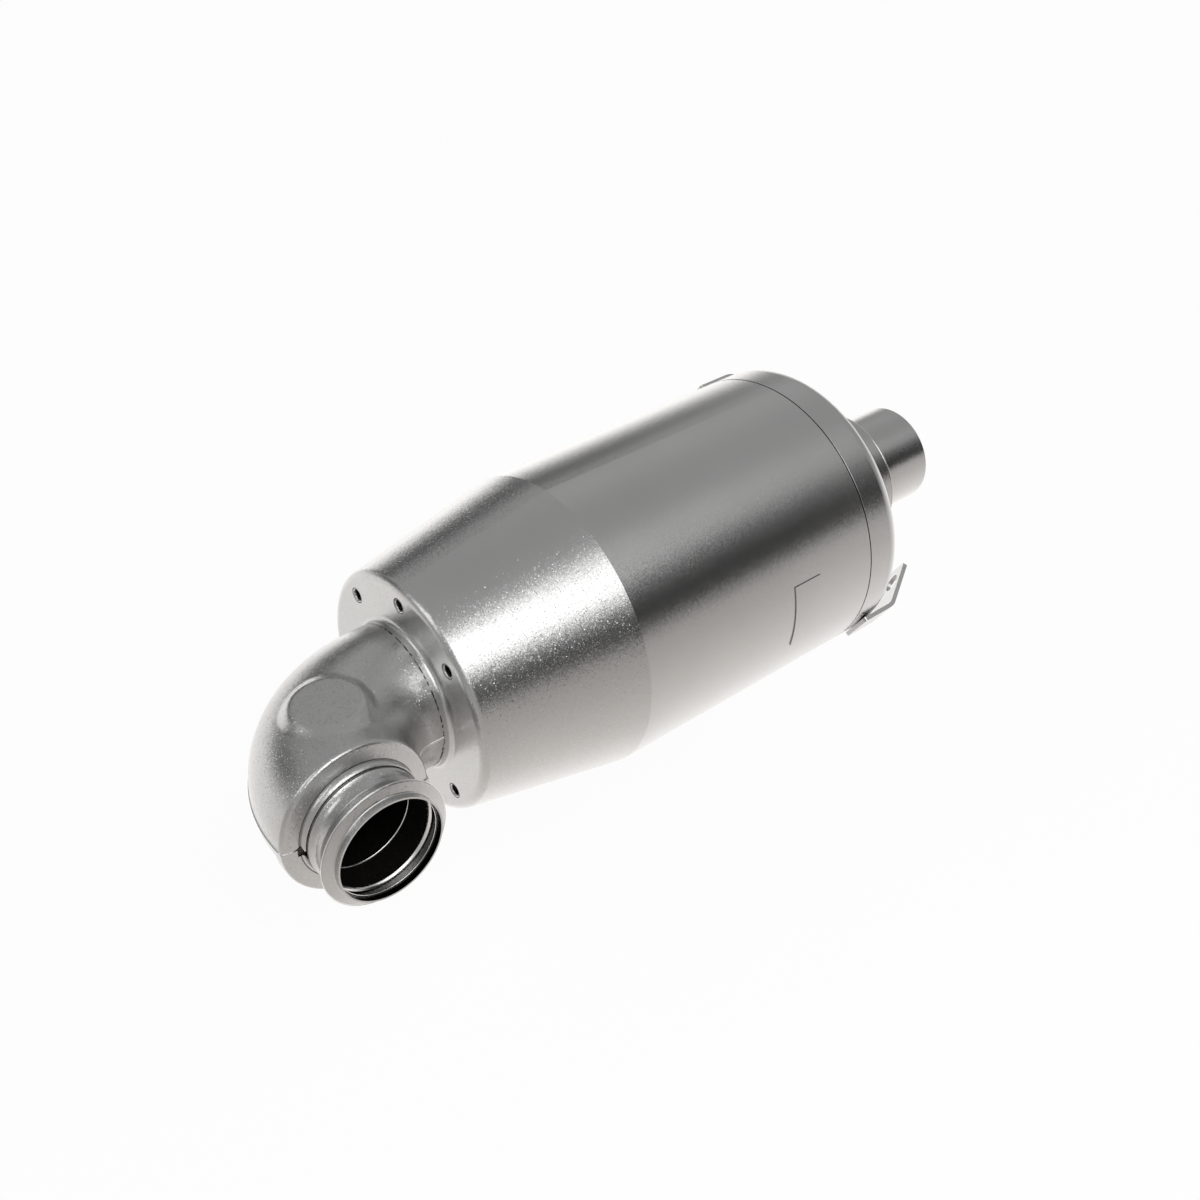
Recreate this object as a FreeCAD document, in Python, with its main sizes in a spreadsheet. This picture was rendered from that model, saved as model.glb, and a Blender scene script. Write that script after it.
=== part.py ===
import FreeCAD, Part

import math
import os
from types import SimpleNamespace

import Sketcher
from FreeCAD import Placement, Rotation, Vector

# Catalytic converter for an engine's exhaust: an insulated can with a bent inlet neck.
# Gas comes in at the clamp flange, turns through the elbow, spreads in the cone, passes three
# coated bricks and leaves by the outlet pipe.
# Frame: the origin is the centre of the outlet pipe's open end, the can lies along -X from it,
# the inlet neck points along -Y and +Z is up. Lengths are millimetres, angles degrees.

# Driving dimensions: name, value, meaning.
SIZES = [
    ("fit_gap", 0.3, "clearance between pieces that are slipped into each other"),
    ("skin_wall", 2.0, "sheet thickness of the can's outer skin"),
    ("can_radius", 166.0, "outer radius of the can"),
    ("can_length", 326.0, "length of the plain cylinder, cone edge to cap seam"),
    ("seam_gap", 1.4, "width of the groove between cylinder and cap"),
    ("lap_length", 14.0, "how far the cylinder's stepped lip reaches into the cap"),
    ("cone_length", 184.0, "length of the inlet cone, end plate to cylinder"),
    ("plate_radius", 131.0, "cone radius where it meets the end plate"),
    ("plate_edge", 9.0, "outer radius of the rounded edge of the end plate"),
    ("collar_reach", 9.0, "how far the end plate's collar stands out"),
    ("collar_bend", 5.0, "bend radius at the foot of that collar"),
    ("hole_circle", 110.0, "radius of the circle of plate holes"),
    ("hole_radius", 6.0, "radius of a plate hole"),
    ("hole_turn", 46.0, "place of the first plate hole round the can, from the side"),
    ("hole_edge", 1.9, "outer radius of a plate hole's drawn-in edge"),
    ("hole_lip", 2.5, "depth of the lip drawn inward round a plate hole"),
    ("cap_depth", 50.5, "depth of the outlet cap"),
    ("cap_edge", 18.0, "outer radius of the cap's rounded edge"),
    ("cap_collar_reach", 8.0, "how far the cap's collar stands out"),
    ("cap_collar_bend", 4.0, "bend radius at the foot of the cap's collar"),
    ("stub_radius", 79.0, "outer radius of the outlet collar"),
    ("stub_length", 87.0, "length of the outlet collar outside the cap"),
    ("stub_inset", 12.0, "how far the outlet collar reaches into the cap"),
    ("stub_edge", 3.0, "outer radius of the outlet collar's edge"),
    ("outlet_radius", 58.8, "outer radius of the outlet pipe"),
    ("outlet_wall", 1.5, "wall of the outlet pipe"),
    ("outlet_reach", 170.0, "outlet pipe outside the cap's face"),
    ("outlet_inset", 17.0, "outlet pipe inside the cap's face"),
    ("elbow_radius", 77.7, "outer radius of the elbow's skin"),
    ("elbow_wall", 2.0, "sheet thickness of the elbow's half shells"),
    ("bend_radius", 110.0, "radius of the elbow's centre line"),
    ("elbow_run", 24.0, "straight part of the elbow, from the bend to the end plate"),
    ("elbow_inset", 16.0, "how far the elbow's skin reaches into the end plate"),
    ("mouth_run", 6.0, "straight part of the elbow, from the bend to its turned-in mouth"),
    ("mouth_rise", 3.0, "how far the mouth's face stands out towards its collar"),
    ("mouth_edge", 3.0, "outer radius of the mouth's edge"),
    ("mouth_radius", 60.2, "outer radius of the mouth's collar"),
    ("mouth_bend", 2.0, "bend radius at the foot of the mouth's collar"),
    ("mouth_collar", 10.7, "length of the mouth's collar"),
    ("ring_gap", 0.4, "space between the mouth's collar and its end ring"),
    ("ring_depth", 0.8, "thickness of the end ring"),
    ("lap_drop", 6.0, "how far the upper half shell reaches down behind the lip"),
    ("lip_height", 7.0, "height of the lower half shell's outer lip"),
    ("joggle_height", 5.0, "height of the step that carries the lip"),
    ("notch_drop", 8.0, "depth of the notch that is left open between the half shells"),
    ("rim_back", 16.5, "from the mouth's edge back to the foot of the lower half shell's wider rim"),
    ("rim_run", 6.5, "length of the step up to that rim"),
    ("notch_reach", 65.0, "from the neck's axis to the edge of the notch between the half shells"),
    ("pad_radius", 35.2, "radius of the flat pad on the elbow"),
    ("pad_rise", 1.3, "height of the flat pad over the elbow's crown"),
    ("pad_turn", 56.0, "place of the pad along the bend, from the can's side"),
    ("pad_shift", 1.8, "how far the pad lies inside the bend's centre line"),
    ("pad_draft", 30.0, "slope of the pad's wall"),
    ("pad_edge", 3.0, "radius of the pad's upper edge"),
    ("neck_radius", 57.15, "outer radius of the neck"),
    ("neck_wall", 1.75, "wall of the neck and its flange"),
    ("neck_entry", 5.5, "how far the neck and its liner begin behind the mouth's edge"),
    ("neck_bare", 18.1, "bare neck between the mouth's end ring and the flange's flare"),
    ("flare_run", 14.2, "length of the flange's flare, up to its widest point"),
    ("flange_radius", 67.0, "outer radius of the flange"),
    ("flange_run", 4.1, "from the flange's widest point to its sealing shoulder"),
    ("pilot_radius", 55.7, "outer radius of the pilot"),
    ("pilot_length", 7.2, "from the sealing shoulder to the pilot's end"),
    ("liner_wall", 1.5, "wall of the inner pipes and of the inner can"),
    ("gas_radius", 53.3, "outer radius of the inner elbow pipe"),
    ("gas_entry", 8.0, "how far the inner elbow pipe reaches beyond the mouth's edge"),
    ("sleeve_entry", 5.5, "how far the neck's liner reaches into the flare"),
    ("gas_overlap", 21.0, "from the end plate to the inner elbow pipe's end in the cone"),
    ("funnel_start", 25.0, "from the end plate to the diffuser's narrow end"),
    ("slip_joint", 12.0, "length of the slip joints at both ends of the gas path"),
    ("wrap_depth", 26.1, "from the can's outer radius in to the inner can"),
    ("inner_inset", 8.0, "from the cone edge to the inner can's front end"),
    ("rear_inset", 6.0, "from the inner can's rear end to the cap seam"),
    ("mat_depth", 5.05, "space for the mats between the inner can and the bricks"),
    ("brick_inset", 8.3, "from the inner can's ends to the bricks"),
    ("slip_length", 50.8, "length of the last brick"),
    ("brick_gap", 8.0, "space between two bricks"),
    ("mat_margin", 4.0, "how far a mat stays back from its brick's ends"),
    ("grid_wall", 2.0, "thickness of the perforated plate"),
    ("grid_hole", 7.0, "radius of a hole in the perforated plate"),
    ("grid_edge", 26.1, "from the perforated plate's edge to its outer ring of holes"),
    ("ring_width", 10.0, "width of the rings that carry the inner can"),
    ("funnel_back", 27.0, "depth of the reducer's cone behind the inner can"),
    ("plate_air", 24.0, "free space between the end plate and the cone's blanket"),
    ("strap_wall", 5.0, "thickness of a bracket"),
    ("strap_width", 45.0, "width of a bracket"),
    ("strap_run", 47.0, "length of a bracket's leg on the cap"),
    ("strap_bend", 18.0, "inner radius of a bracket's bend"),
    ("strap_angle", 33.0, "angle of a bracket's bend"),
    ("strap_leg", 62.0, "length of a bracket's bent leg"),
    ("strap_corner", 3.0, "radius of a bracket's corners"),
    ("strap_hole_at", 39.0, "from a bracket's bend to its hole"),
    ("strap_hole_side", 5.0, "how far the hole lies off a bracket's middle line"),
    ("strap_hole", 11.0, "radius of a bracket's hole"),
    ("strap_turn", 123.75, "angle of the lower bracket round the can, from the top"),
    ("lower_start", 17.5, "from the seam to the lower bracket"),
    ("upper_start", 12.0, "from the seam to the upper bracket"),
    ("label_width", 39.0, "width of the bare plate on the can"),
    ("label_height", 78.0, "height of the bare plate, round the can"),
    ("label_wall", 1.0, "thickness of the bare plate"),
    ("label_at", 119.5, "from the seam to the bare plate's front edge"),
]
HOLES_PER_GROUP = 3
GROUP_SPREAD = 90.0
GRID_RINGS = 4
HALF_TURN = 180.0
UPPER_HALF = 1
LOWER_HALF = -1
RIGHT = 1
LEFT = -1


class Size:
    """A length with its present value and the formula that the document keeps for it."""

    def __init__(self, value, text):
        self.value = float(value)
        self.text = text

    def __add__(self, other):
        other = as_size(other)
        return Size(self.value + other.value, f"({self.text} + {other.text})")

    def __radd__(self, other):
        return as_size(other) + self

    def __sub__(self, other):
        other = as_size(other)
        return Size(self.value - other.value, f"({self.text} - {other.text})")

    def __rsub__(self, other):
        return as_size(other) - self

    def __mul__(self, other):
        other = as_size(other)
        return Size(self.value * other.value, f"({self.text} * {other.text})")

    def __rmul__(self, other):
        return as_size(other) * self

    def __truediv__(self, other):
        other = as_size(other)
        return Size(self.value / other.value, f"({self.text} / {other.text})")

    def __rtruediv__(self, other):
        return as_size(other) / self

    def __neg__(self):
        return Size(-self.value, f"(0 - {self.text})")


def as_size(number):
    return number if isinstance(number, Size) else Size(number, repr(float(number)))


def cosine(angle):
    return Size(math.cos(math.radians(angle.value)), f"cos({angle.text})")


def sine(angle):
    return Size(math.sin(math.radians(angle.value)), f"sin({angle.text})")


def tangent(angle):
    return Size(math.tan(math.radians(angle.value)), f"tan({angle.text})")


def fill_sheet(document):
    """Writes the driving dimensions into the document's sheet and returns them by name."""
    sheet = document.addObject("Spreadsheet::Sheet", "sizes")
    found = {}
    for row, (name, value, meaning) in enumerate(SIZES, start=1):
        sheet.set(f"A{row}", meaning)
        sheet.set(f"B{row}", str(value))
        sheet.setAlias(f"B{row}", name)
        found[name] = Size(value, f"sizes.{name}")
    document.recompute()
    return SimpleNamespace(**found)


doc = FreeCAD.newDocument("catalytic_converter")
s = fill_sheet(doc)

# Stations along the can, from the outlet pipe's end towards -X.
cap_face = -s.outlet_reach
seam = cap_face - s.cap_depth
crease = seam - s.can_length
plate = crease - s.cone_length
elbow_reach = s.bend_radius + s.elbow_run
neck_axis = plate - elbow_reach
skin_inside = s.can_radius - s.skin_wall
cone_slope = (s.can_radius - s.plate_radius) / s.cone_length
# A sloping sheet is thicker across the axis than along its normal, by this share.
cone_share = 1 + cone_slope * cone_slope / 2
collar_inside = s.elbow_radius + s.fit_gap
collar_outside = collar_inside + s.skin_wall
inner_front = crease + s.inner_inset
inner_back = seam - s.rear_inset
inner_radius = s.can_radius - s.wrap_depth
skirt_inside = inner_radius + s.fit_gap
skirt_outside = skirt_inside + s.liner_wall
brick_radius = inner_radius - s.liner_wall - s.mat_depth
brick_stack = inner_back - inner_front - s.brick_inset * 2
brick_length = (brick_stack - s.slip_length) / 2 - s.brick_gap

# Stations along the neck, from the can's axis towards -Y.
mouth_reach = s.bend_radius + s.mouth_run
rim_start = mouth_reach - s.rim_back
neck_start = mouth_reach - s.neck_entry
gas_end = mouth_reach + s.gas_entry
collar_end = mouth_reach + s.mouth_rise + s.mouth_collar
ring_end = collar_end + s.ring_gap + s.ring_depth
flare_start = ring_end + s.neck_bare
sleeve_end = flare_start + s.sleeve_entry
flange_crest = flare_start + s.flare_run
flange_face = flange_crest + s.flange_run
neck_reach = flange_face + s.pilot_length


def bind(target, name, size):
    target.setExpression(name, size.text)


def new_body(label, along_x=None, along_y=None, along_z=None):
    body = doc.addObject("PartDesign::Body", label)
    body.Label = label
    for axis, shift in (("x", along_x), ("y", along_y), ("z", along_z)):
        if shift is not None:
            bind(body, f"Placement.Base.{axis}", shift)
    return body


def origin_feature(body, role):
    return next(item for item in body.Origin.OriginFeatures if item.Role == role)


def new_sketch(body, role, offset=None):
    """A sketch on one of the body's own origin planes, moved along that plane's normal."""
    sketch = body.newObject("Sketcher::SketchObject", "outline")
    sketch.AttachmentSupport = [(origin_feature(body, role), "")]
    sketch.MapMode = "FlatFace"
    if offset is not None:
        sketch.AttachmentOffset = Placement(Vector(0, 0, offset.value), Rotation())
        bind(sketch, "AttachmentOffset.Base.z", offset)
    return sketch


def hold(sketch, kind, *places, size):
    index = sketch.addConstraint(Sketcher.Constraint(kind, *places, size.value))
    sketch.setExpression(f"Constraints[{index}]", size.text)


def hold_point(sketch, geometry, end, across, up):
    hold(sketch, "DistanceX", -1, 1, geometry, end, size=across)
    hold(sketch, "DistanceY", -1, 1, geometry, end, size=up)


def rounded_corner(before, here, after, radius):
    """Start, end, centre and sense of the arc that rounds a corner between two straight runs."""
    to_before = (before - here).normalize()
    to_after = (after - here).normalize()
    half = to_before.getAngle(to_after) / 2
    reach = radius / math.tan(half)
    middle = (to_before + to_after).normalize()
    turns_left = to_before.cross(to_after).z < 0
    start = here + to_before * reach
    end = here + to_after * reach
    return start, end, here + middle * (radius / math.sin(half)), turns_left


def draw_outline(sketch, corners):
    """Closed outline through corners (across, up) or (across, up, rounding)."""
    points = [Vector(as_size(c[0]).value, as_size(c[1]).value, 0) for c in corners]
    count = len(corners)
    starts, ends, arcs = [], [], []
    for index, corner in enumerate(corners):
        if len(corner) == 3:
            before = points[index - 1]
            after = points[(index + 1) % count]
            start, end, centre, left = rounded_corner(before, points[index], after, corner[2].value)
            starts.append(start)
            ends.append(end)
            arcs.append((centre, left))
        else:
            starts.append(points[index])
            ends.append(points[index])
            arcs.append(None)
    first = sketch.GeometryCount
    for index in range(count):
        run = Part.LineSegment(ends[index], starts[(index + 1) % count])
        sketch.addGeometry(run, False)
    for index, corner in enumerate(corners):
        line_in = first + (index - 1) % count
        line_out = first + index
        across = as_size(corner[0])
        up = as_size(corner[1])
        if arcs[index] is None:
            sketch.addConstraint(Sketcher.Constraint("Coincident", line_in, 2, line_out, 1))
            hold_point(sketch, line_out, 1, across, up)
            continue
        centre, left = arcs[index]
        from_point, to_point = (starts[index], ends[index]) if left else (ends[index], starts[index])
        angles = [math.atan2(p.y - centre.y, p.x - centre.x) for p in (from_point, to_point)]
        circle = Part.Circle(centre, Vector(0, 0, 1), corner[2].value)
        arc = sketch.addGeometry(Part.ArcOfCircle(circle, angles[0], angles[1]), False)
        in_end, out_end = (1, 2) if left else (2, 1)
        sketch.addConstraint(Sketcher.Constraint("Tangent", line_in, 2, arc, in_end))
        sketch.addConstraint(Sketcher.Constraint("Tangent", line_out, 1, arc, out_end))
        hold(sketch, "Radius", arc, size=corner[2])
        mark = sketch.addGeometry(Part.Point(points[index]), True)
        hold_point(sketch, mark, 1, across, up)
        sketch.addConstraint(Sketcher.Constraint("PointOnObject", mark, 1, line_in))
        sketch.addConstraint(Sketcher.Constraint("PointOnObject", mark, 1, line_out))


def draw_circle(sketch, radius, across=None, up=None):
    across = as_size(0 if across is None else across)
    up = as_size(0 if up is None else up)
    centre = Vector(across.value, up.value, 0)
    index = sketch.addGeometry(Part.Circle(centre, Vector(0, 0, 1), radius.value), False)
    hold(sketch, "Radius", index, size=radius)
    hold_point(sketch, index, 3, across, up)


def draw_half_ring(sketch, outer, inner, edge, side):
    """Half of a ring round the sketch's origin, cut off straight at the height edge * side."""
    cut = edge * side
    ends = []
    for radius in (outer, inner):
        tilt = math.asin(edge.value / radius.value)
        low, high = (tilt, math.pi - tilt) if side > 0 else (math.pi + tilt, -tilt)
        circle = Part.Circle(Vector(0, 0, 0), Vector(0, 0, 1), radius.value)
        arc = sketch.addGeometry(Part.ArcOfCircle(circle, low, high), False)
        sketch.addConstraint(Sketcher.Constraint("Coincident", arc, 3, -1, 1))
        hold(sketch, "Radius", arc, size=radius)
        hold(sketch, "DistanceY", -1, 1, arc, 1, size=cut)
        hold(sketch, "DistanceY", -1, 1, arc, 2, size=cut)
        ends.append(arc)
    for end in (1, 2):
        outer_arc, inner_arc = (sketch.Geometry[arc] for arc in ends)
        outer_end = outer_arc.StartPoint if end == 1 else outer_arc.EndPoint
        inner_end = inner_arc.StartPoint if end == 1 else inner_arc.EndPoint
        line = sketch.addGeometry(Part.LineSegment(outer_end, inner_end), False)
        sketch.addConstraint(Sketcher.Constraint("Coincident", line, 1, ends[0], end))
        sketch.addConstraint(Sketcher.Constraint("Coincident", line, 2, ends[1], end))


def draw_axis(sketch, across):
    """Upright construction line that a revolution can turn about."""
    foot = Vector(across.value, 0, 0)
    top = Vector(across.value, 10, 0)
    line = sketch.addGeometry(Part.LineSegment(foot, top), True)
    hold_point(sketch, line, 1, across, as_size(0))
    sketch.addConstraint(Sketcher.Constraint("Vertical", line))
    hold(sketch, "Distance", line, size=as_size(10))


def revolve(body, kind, sketch, axis, angle=360.0, midplane=False):
    feature = body.newObject(f"PartDesign::{kind}", kind.lower())
    feature.Profile = sketch
    feature.ReferenceAxis = axis
    if isinstance(angle, Size):
        feature.Angle = angle.value
        bind(feature, "Angle", angle)
    else:
        feature.Angle = angle
    feature.Midplane = midplane
    sketch.Visibility = False
    return feature


def extrude(body, kind, sketch, length, reverse=False, midplane=False):
    feature = body.newObject(f"PartDesign::{kind}", kind.lower())
    feature.Profile = sketch
    feature.Type = 0
    bind(feature, "Length", length)
    feature.Reversed = reverse
    feature.Midplane = midplane
    sketch.Visibility = False
    return feature


def turned(label, corners, **rounded):
    """A piece turned about the can's axis; corners are (station, radius, optional rounding)."""
    body = new_body(label)
    sketch = new_sketch(body, "XZ_Plane")
    draw_outline(sketch, corners)
    revolve(body, "Revolution", sketch, (origin_feature(body, "X_Axis"), [""]), **rounded)
    return body


def ring(label, start, end, outer, inner):
    return turned(label, [(start, inner), (end, inner), (end, outer), (start, outer)])


def neck_piece(label, corners):
    """A piece turned about the neck's axis; corners are (radius, station along Y)."""
    body = new_body(label, along_x=neck_axis)
    sketch = new_sketch(body, "XY_Plane")
    draw_outline(sketch, corners)
    revolve(body, "Revolution", sketch, (origin_feature(body, "Y_Axis"), [""]))
    return body


def repeat_round(body, feature, count, spread=360.0):
    """Repeats a feature round the can's axis."""
    pattern = body.newObject("PartDesign::PolarPattern", "pattern")
    pattern.Originals = [feature]
    pattern.Axis = (origin_feature(body, "X_Axis"), [""])
    pattern.Angle = spread
    pattern.Occurrences = count
    feature.Visibility = False
    body.Tip = pattern
    return pattern


# Outer skin of the can

def make_can_shell():
    """Rolled cylinder; its rear end is stepped inward to sit inside the cap."""
    step = seam - s.seam_gap / 2
    lip_outer = skin_inside - s.fit_gap
    lip_inner = lip_outer - s.skin_wall
    lip_end = seam + s.lap_length
    slant = s.skin_wall * 2
    return turned("can_shell", [
        (crease, s.can_radius),
        (step, s.can_radius),
        (step, lip_outer),
        (lip_end, lip_outer),
        (lip_end, lip_inner),
        (step - s.skin_wall, lip_inner),
        (step - slant, skin_inside),
        (crease, skin_inside),
    ])


def draw_hole_pair(sketch, radius):
    """First hole of the upper group of three and first hole of the lower group, opposite it."""
    across = s.hole_circle * cosine(s.hole_turn)
    up = s.hole_circle * sine(s.hole_turn)
    draw_circle(sketch, radius, across=across, up=up)
    draw_circle(sketch, radius, across=-across, up=-up)


def make_inlet_cone():
    """Pressed cone, flat end plate with holes, and the collar round the elbow, in one piece."""
    wall = s.skin_wall
    back = plate + wall
    rolled_end = plate - s.collar_reach
    inner_edge = s.plate_radius + wall * cone_slope - wall * cone_share
    body = turned("inlet_cone", [
        (crease, s.can_radius),
        (crease, s.can_radius - wall * cone_share),
        (back, inner_edge, s.plate_edge - wall),
        (back, collar_inside, s.collar_bend + wall),
        (rolled_end, collar_inside),
        (rolled_end, collar_outside),
        (plate, collar_outside, s.collar_bend),
        (plate, s.plate_radius, s.plate_edge),
    ])
    lip = new_sketch(body, "YZ_Plane", offset=back)
    draw_hole_pair(lip, s.hole_radius + wall)
    lip_pad = extrude(body, "Pad", lip, s.hole_lip)
    repeat_round(body, lip_pad, HOLES_PER_GROUP, GROUP_SPREAD)
    hole = new_sketch(body, "YZ_Plane", offset=plate)
    draw_hole_pair(hole, s.hole_radius)
    hole_cut = extrude(body, "Pocket", hole, wall + s.hole_lip, reverse=True)
    holes = repeat_round(body, hole_cut, HOLES_PER_GROUP, GROUP_SPREAD)
    doc.recompute()
    rims = [f"Edge{number}" for number, edge in enumerate(holes.Shape.Edges, start=1)
            if is_rim(edge, s.hole_radius.value, plate.value)]
    rounding = body.newObject("PartDesign::Fillet", "fillet")
    rounding.Base = (holes, rims)
    bind(rounding, "Radius", s.hole_edge)
    return body


def is_rim(edge, radius, station):
    """Full circle of the given radius that lies across the can's axis at a station."""
    curve = edge.Curve
    return curve.TypeId == "Part::GeomCircle" and abs(curve.Radius - radius) < 1e-4 and \
        abs(curve.Center.x - station) < 1e-4


def make_outlet_cap():
    wall = s.skin_wall
    start = seam + s.seam_gap / 2
    back = cap_face - wall
    hole_inside = s.stub_radius + s.fit_gap
    hole_outside = hole_inside + wall
    rolled_end = cap_face + s.cap_collar_reach
    return turned("outlet_cap", [
        (start, s.can_radius),
        (cap_face, s.can_radius, s.cap_edge),
        (cap_face, hole_outside, s.cap_collar_bend),
        (rolled_end, hole_outside),
        (rolled_end, hole_inside),
        (back, hole_inside, s.cap_collar_bend + wall),
        (back, skin_inside, s.cap_edge - wall),
        (start, skin_inside),
    ])


def make_outlet_collar():
    """Drawn cup over the outlet pipe, with its end turned in onto the pipe."""
    wall = s.skin_wall
    start = cap_face - s.stub_inset
    end = cap_face + s.stub_length
    bore = s.outlet_radius + s.fit_gap
    return turned("outlet_collar", [
        (start, s.stub_radius),
        (end, s.stub_radius, s.stub_edge),
        (end, bore),
        (end - wall, bore),
        (end - wall, s.stub_radius - wall, s.stub_edge - wall),
        (start, s.stub_radius - wall),
    ])


# Elbow skin: two half shells with a lap joint in the plane of the bend

def add_bent_solid(body, kinds, radius, far_end):
    """Straight run from the bend towards the can, and the quarter bend, both of round section."""
    straight_kind, bend_kind = kinds
    straight = new_sketch(body, "YZ_Plane", offset=s.bend_radius)
    draw_circle(straight, radius)
    extrude(body, straight_kind, straight, far_end - s.bend_radius, reverse=straight_kind == "Pocket")
    section = new_sketch(body, "YZ_Plane", offset=s.bend_radius)
    draw_circle(section, radius)
    draw_axis(section, -s.bend_radius)
    revolve(body, bend_kind, section, (section, ["Axis0"]), angle=90.0)


def add_mouth(body, kind, radius, corner_at, edge, collar, end, foot_bend):
    """Round end of the elbow: edge, face turned in, and short collar, about the neck's axis."""
    foot = corner_at + s.mouth_rise
    sketch = new_sketch(body, "XY_Plane")
    draw_outline(sketch, [
        (as_size(0), -s.bend_radius),
        (radius, -s.bend_radius),
        (radius, -corner_at, edge),
        (collar, -foot, foot_bend),
        (collar, -end),
        (as_size(0), -end),
    ])
    revolve(body, kind, sketch, (origin_feature(body, "Y_Axis"), [""]))


def add_pad(body, kind, top, radius, edge):
    """Flat round plateau on the elbow's crown, turned about its own upright axis."""
    circle = s.bend_radius - s.pad_shift
    across = s.bend_radius - circle * sine(s.pad_turn)
    along = s.bend_radius - circle * cosine(s.pad_turn)
    base = s.elbow_radius / 2
    sketch = new_sketch(body, "XZ_Plane", offset=along)
    draw_outline(sketch, [
        (across, base),
        (across + radius + (top - base) * tangent(s.pad_draft), base),
        (across + radius, top, edge),
        (across, top),
    ])
    draw_axis(sketch, across)
    return revolve(body, kind, sketch, (sketch, ["Axis0"]))


def cut_box(body, height, low, high, depth, upward):
    """Cuts a box away from the plane z = height; low and high are its corners in plan."""
    sketch = new_sketch(body, "XY_Plane", offset=height)
    draw_outline(sketch, [(low[0], low[1]), (high[0], low[1]), (high[0], high[1]), (low[0], high[1])])
    return extrude(body, "Pocket", sketch, depth, reverse=upward)


def make_elbow_shell_upper():
    body = new_body("elbow_shell_upper", along_x=neck_axis)
    wall = s.elbow_wall
    inside = s.elbow_radius - wall
    far_end = elbow_reach + s.elbow_inset
    add_bent_solid(body, ("Pad", "Revolution"), s.elbow_radius, far_end)
    add_mouth(body, "Revolution", s.elbow_radius, mouth_reach, s.mouth_edge,
              s.mouth_radius, collar_end, s.mouth_bend)
    pad_top = s.elbow_radius + s.pad_rise
    add_pad(body, "Revolution", pad_top, s.pad_radius, s.pad_edge)
    add_bent_solid(body, ("Pocket", "Groove"), inside, far_end)
    add_mouth(body, "Groove", inside, mouth_reach - wall, s.mouth_edge - wall / 2,
              s.neck_radius + s.fit_gap, collar_end, s.mouth_bend + wall)
    slanted = wall / cosine(s.pad_draft) - wall * tangent(s.pad_draft)
    add_pad(body, "Groove", pad_top - wall, s.pad_radius - slanted, s.pad_edge - wall / 2)
    margin = s.elbow_radius * 2
    low = (-margin, -neck_reach)
    high = (far_end + margin, margin)
    cut_box(body, -s.lap_drop, low, high, margin, upward=False)
    # At the collar and inside the end plate the two halves only meet.
    reach = s.notch_reach
    cut_box(body, as_size(0), (-reach, -neck_reach), (reach, -mouth_reach), margin, upward=False)
    cut_box(body, as_size(0), (elbow_reach - s.collar_reach - s.fit_gap, low[1]), high,
            margin, upward=False)
    return body


def draw_lipped_half(sketch, joggled):
    """Section of the lower half shell: half a ring, with its edges stepped outward to a lip."""
    wall = s.elbow_wall
    outer = s.elbow_radius
    inner = outer - wall
    lip_inner = outer + s.fit_gap
    lip_outer = lip_inner + wall
    step = s.lip_height + s.joggle_height
    zero = as_size(0)
    if joggled:
        outside = [(lip_outer, zero), (lip_outer, s.lip_height), (outer, step)]
        inside = [(lip_inner, zero), (lip_inner, s.lip_height + wall / 4), (inner, step + wall / 4)]
    else:
        outside = [(outer, zero)]
        inside = [(inner, zero)]
    down = [(radius, drop, RIGHT) for radius, drop in outside]
    up = [(radius, drop, LEFT) for radius, drop in reversed(outside)]
    back = [(radius, drop, LEFT) for radius, drop in inside]
    home = [(radius, drop, RIGHT) for radius, drop in reversed(inside)]
    draw_ring_path(sketch, down + up + back + home)


def draw_ring_path(sketch, nodes):
    """Closed path of nodes (radius, depth below the centre, side); equal radii join by an arc."""
    places = []
    for radius, drop, side in nodes:
        across = math.sqrt(radius.value ** 2 - drop.value ** 2) * side
        places.append(Vector(across, -drop.value, 0))
    count = len(nodes)
    runs = []
    for index in range(count):
        begin, finish = places[index], places[(index + 1) % count]
        radius = nodes[index][0]
        if radius is nodes[(index + 1) % count][0]:
            angles = [math.atan2(p.y, p.x) for p in (begin, finish)]
            angles = [a - 2 * math.pi if a > 1e-9 else a for a in angles]
            forward = angles[1] > angles[0]
            circle = Part.Circle(Vector(0, 0, 0), Vector(0, 0, 1), radius.value)
            arc = sketch.addGeometry(Part.ArcOfCircle(circle, min(angles), max(angles)), False)
            sketch.addConstraint(Sketcher.Constraint("Coincident", arc, 3, -1, 1))
            hold(sketch, "Radius", arc, size=radius)
            ends = (1, 2) if forward else (2, 1)
            hold(sketch, "DistanceY", -1, 1, arc, ends[0], size=-nodes[index][1])
            hold(sketch, "DistanceY", -1, 1, arc, ends[1], size=-nodes[(index + 1) % count][1])
            runs.append((arc, *ends))
        else:
            line = sketch.addGeometry(Part.LineSegment(begin, finish), False)
            runs.append((line, 1, 2))
    for (here, _, leave), (there, enter, _) in zip(runs, runs[1:] + runs[:1]):
        sketch.addConstraint(Sketcher.Constraint("Coincident", here, leave, there, enter))


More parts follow.
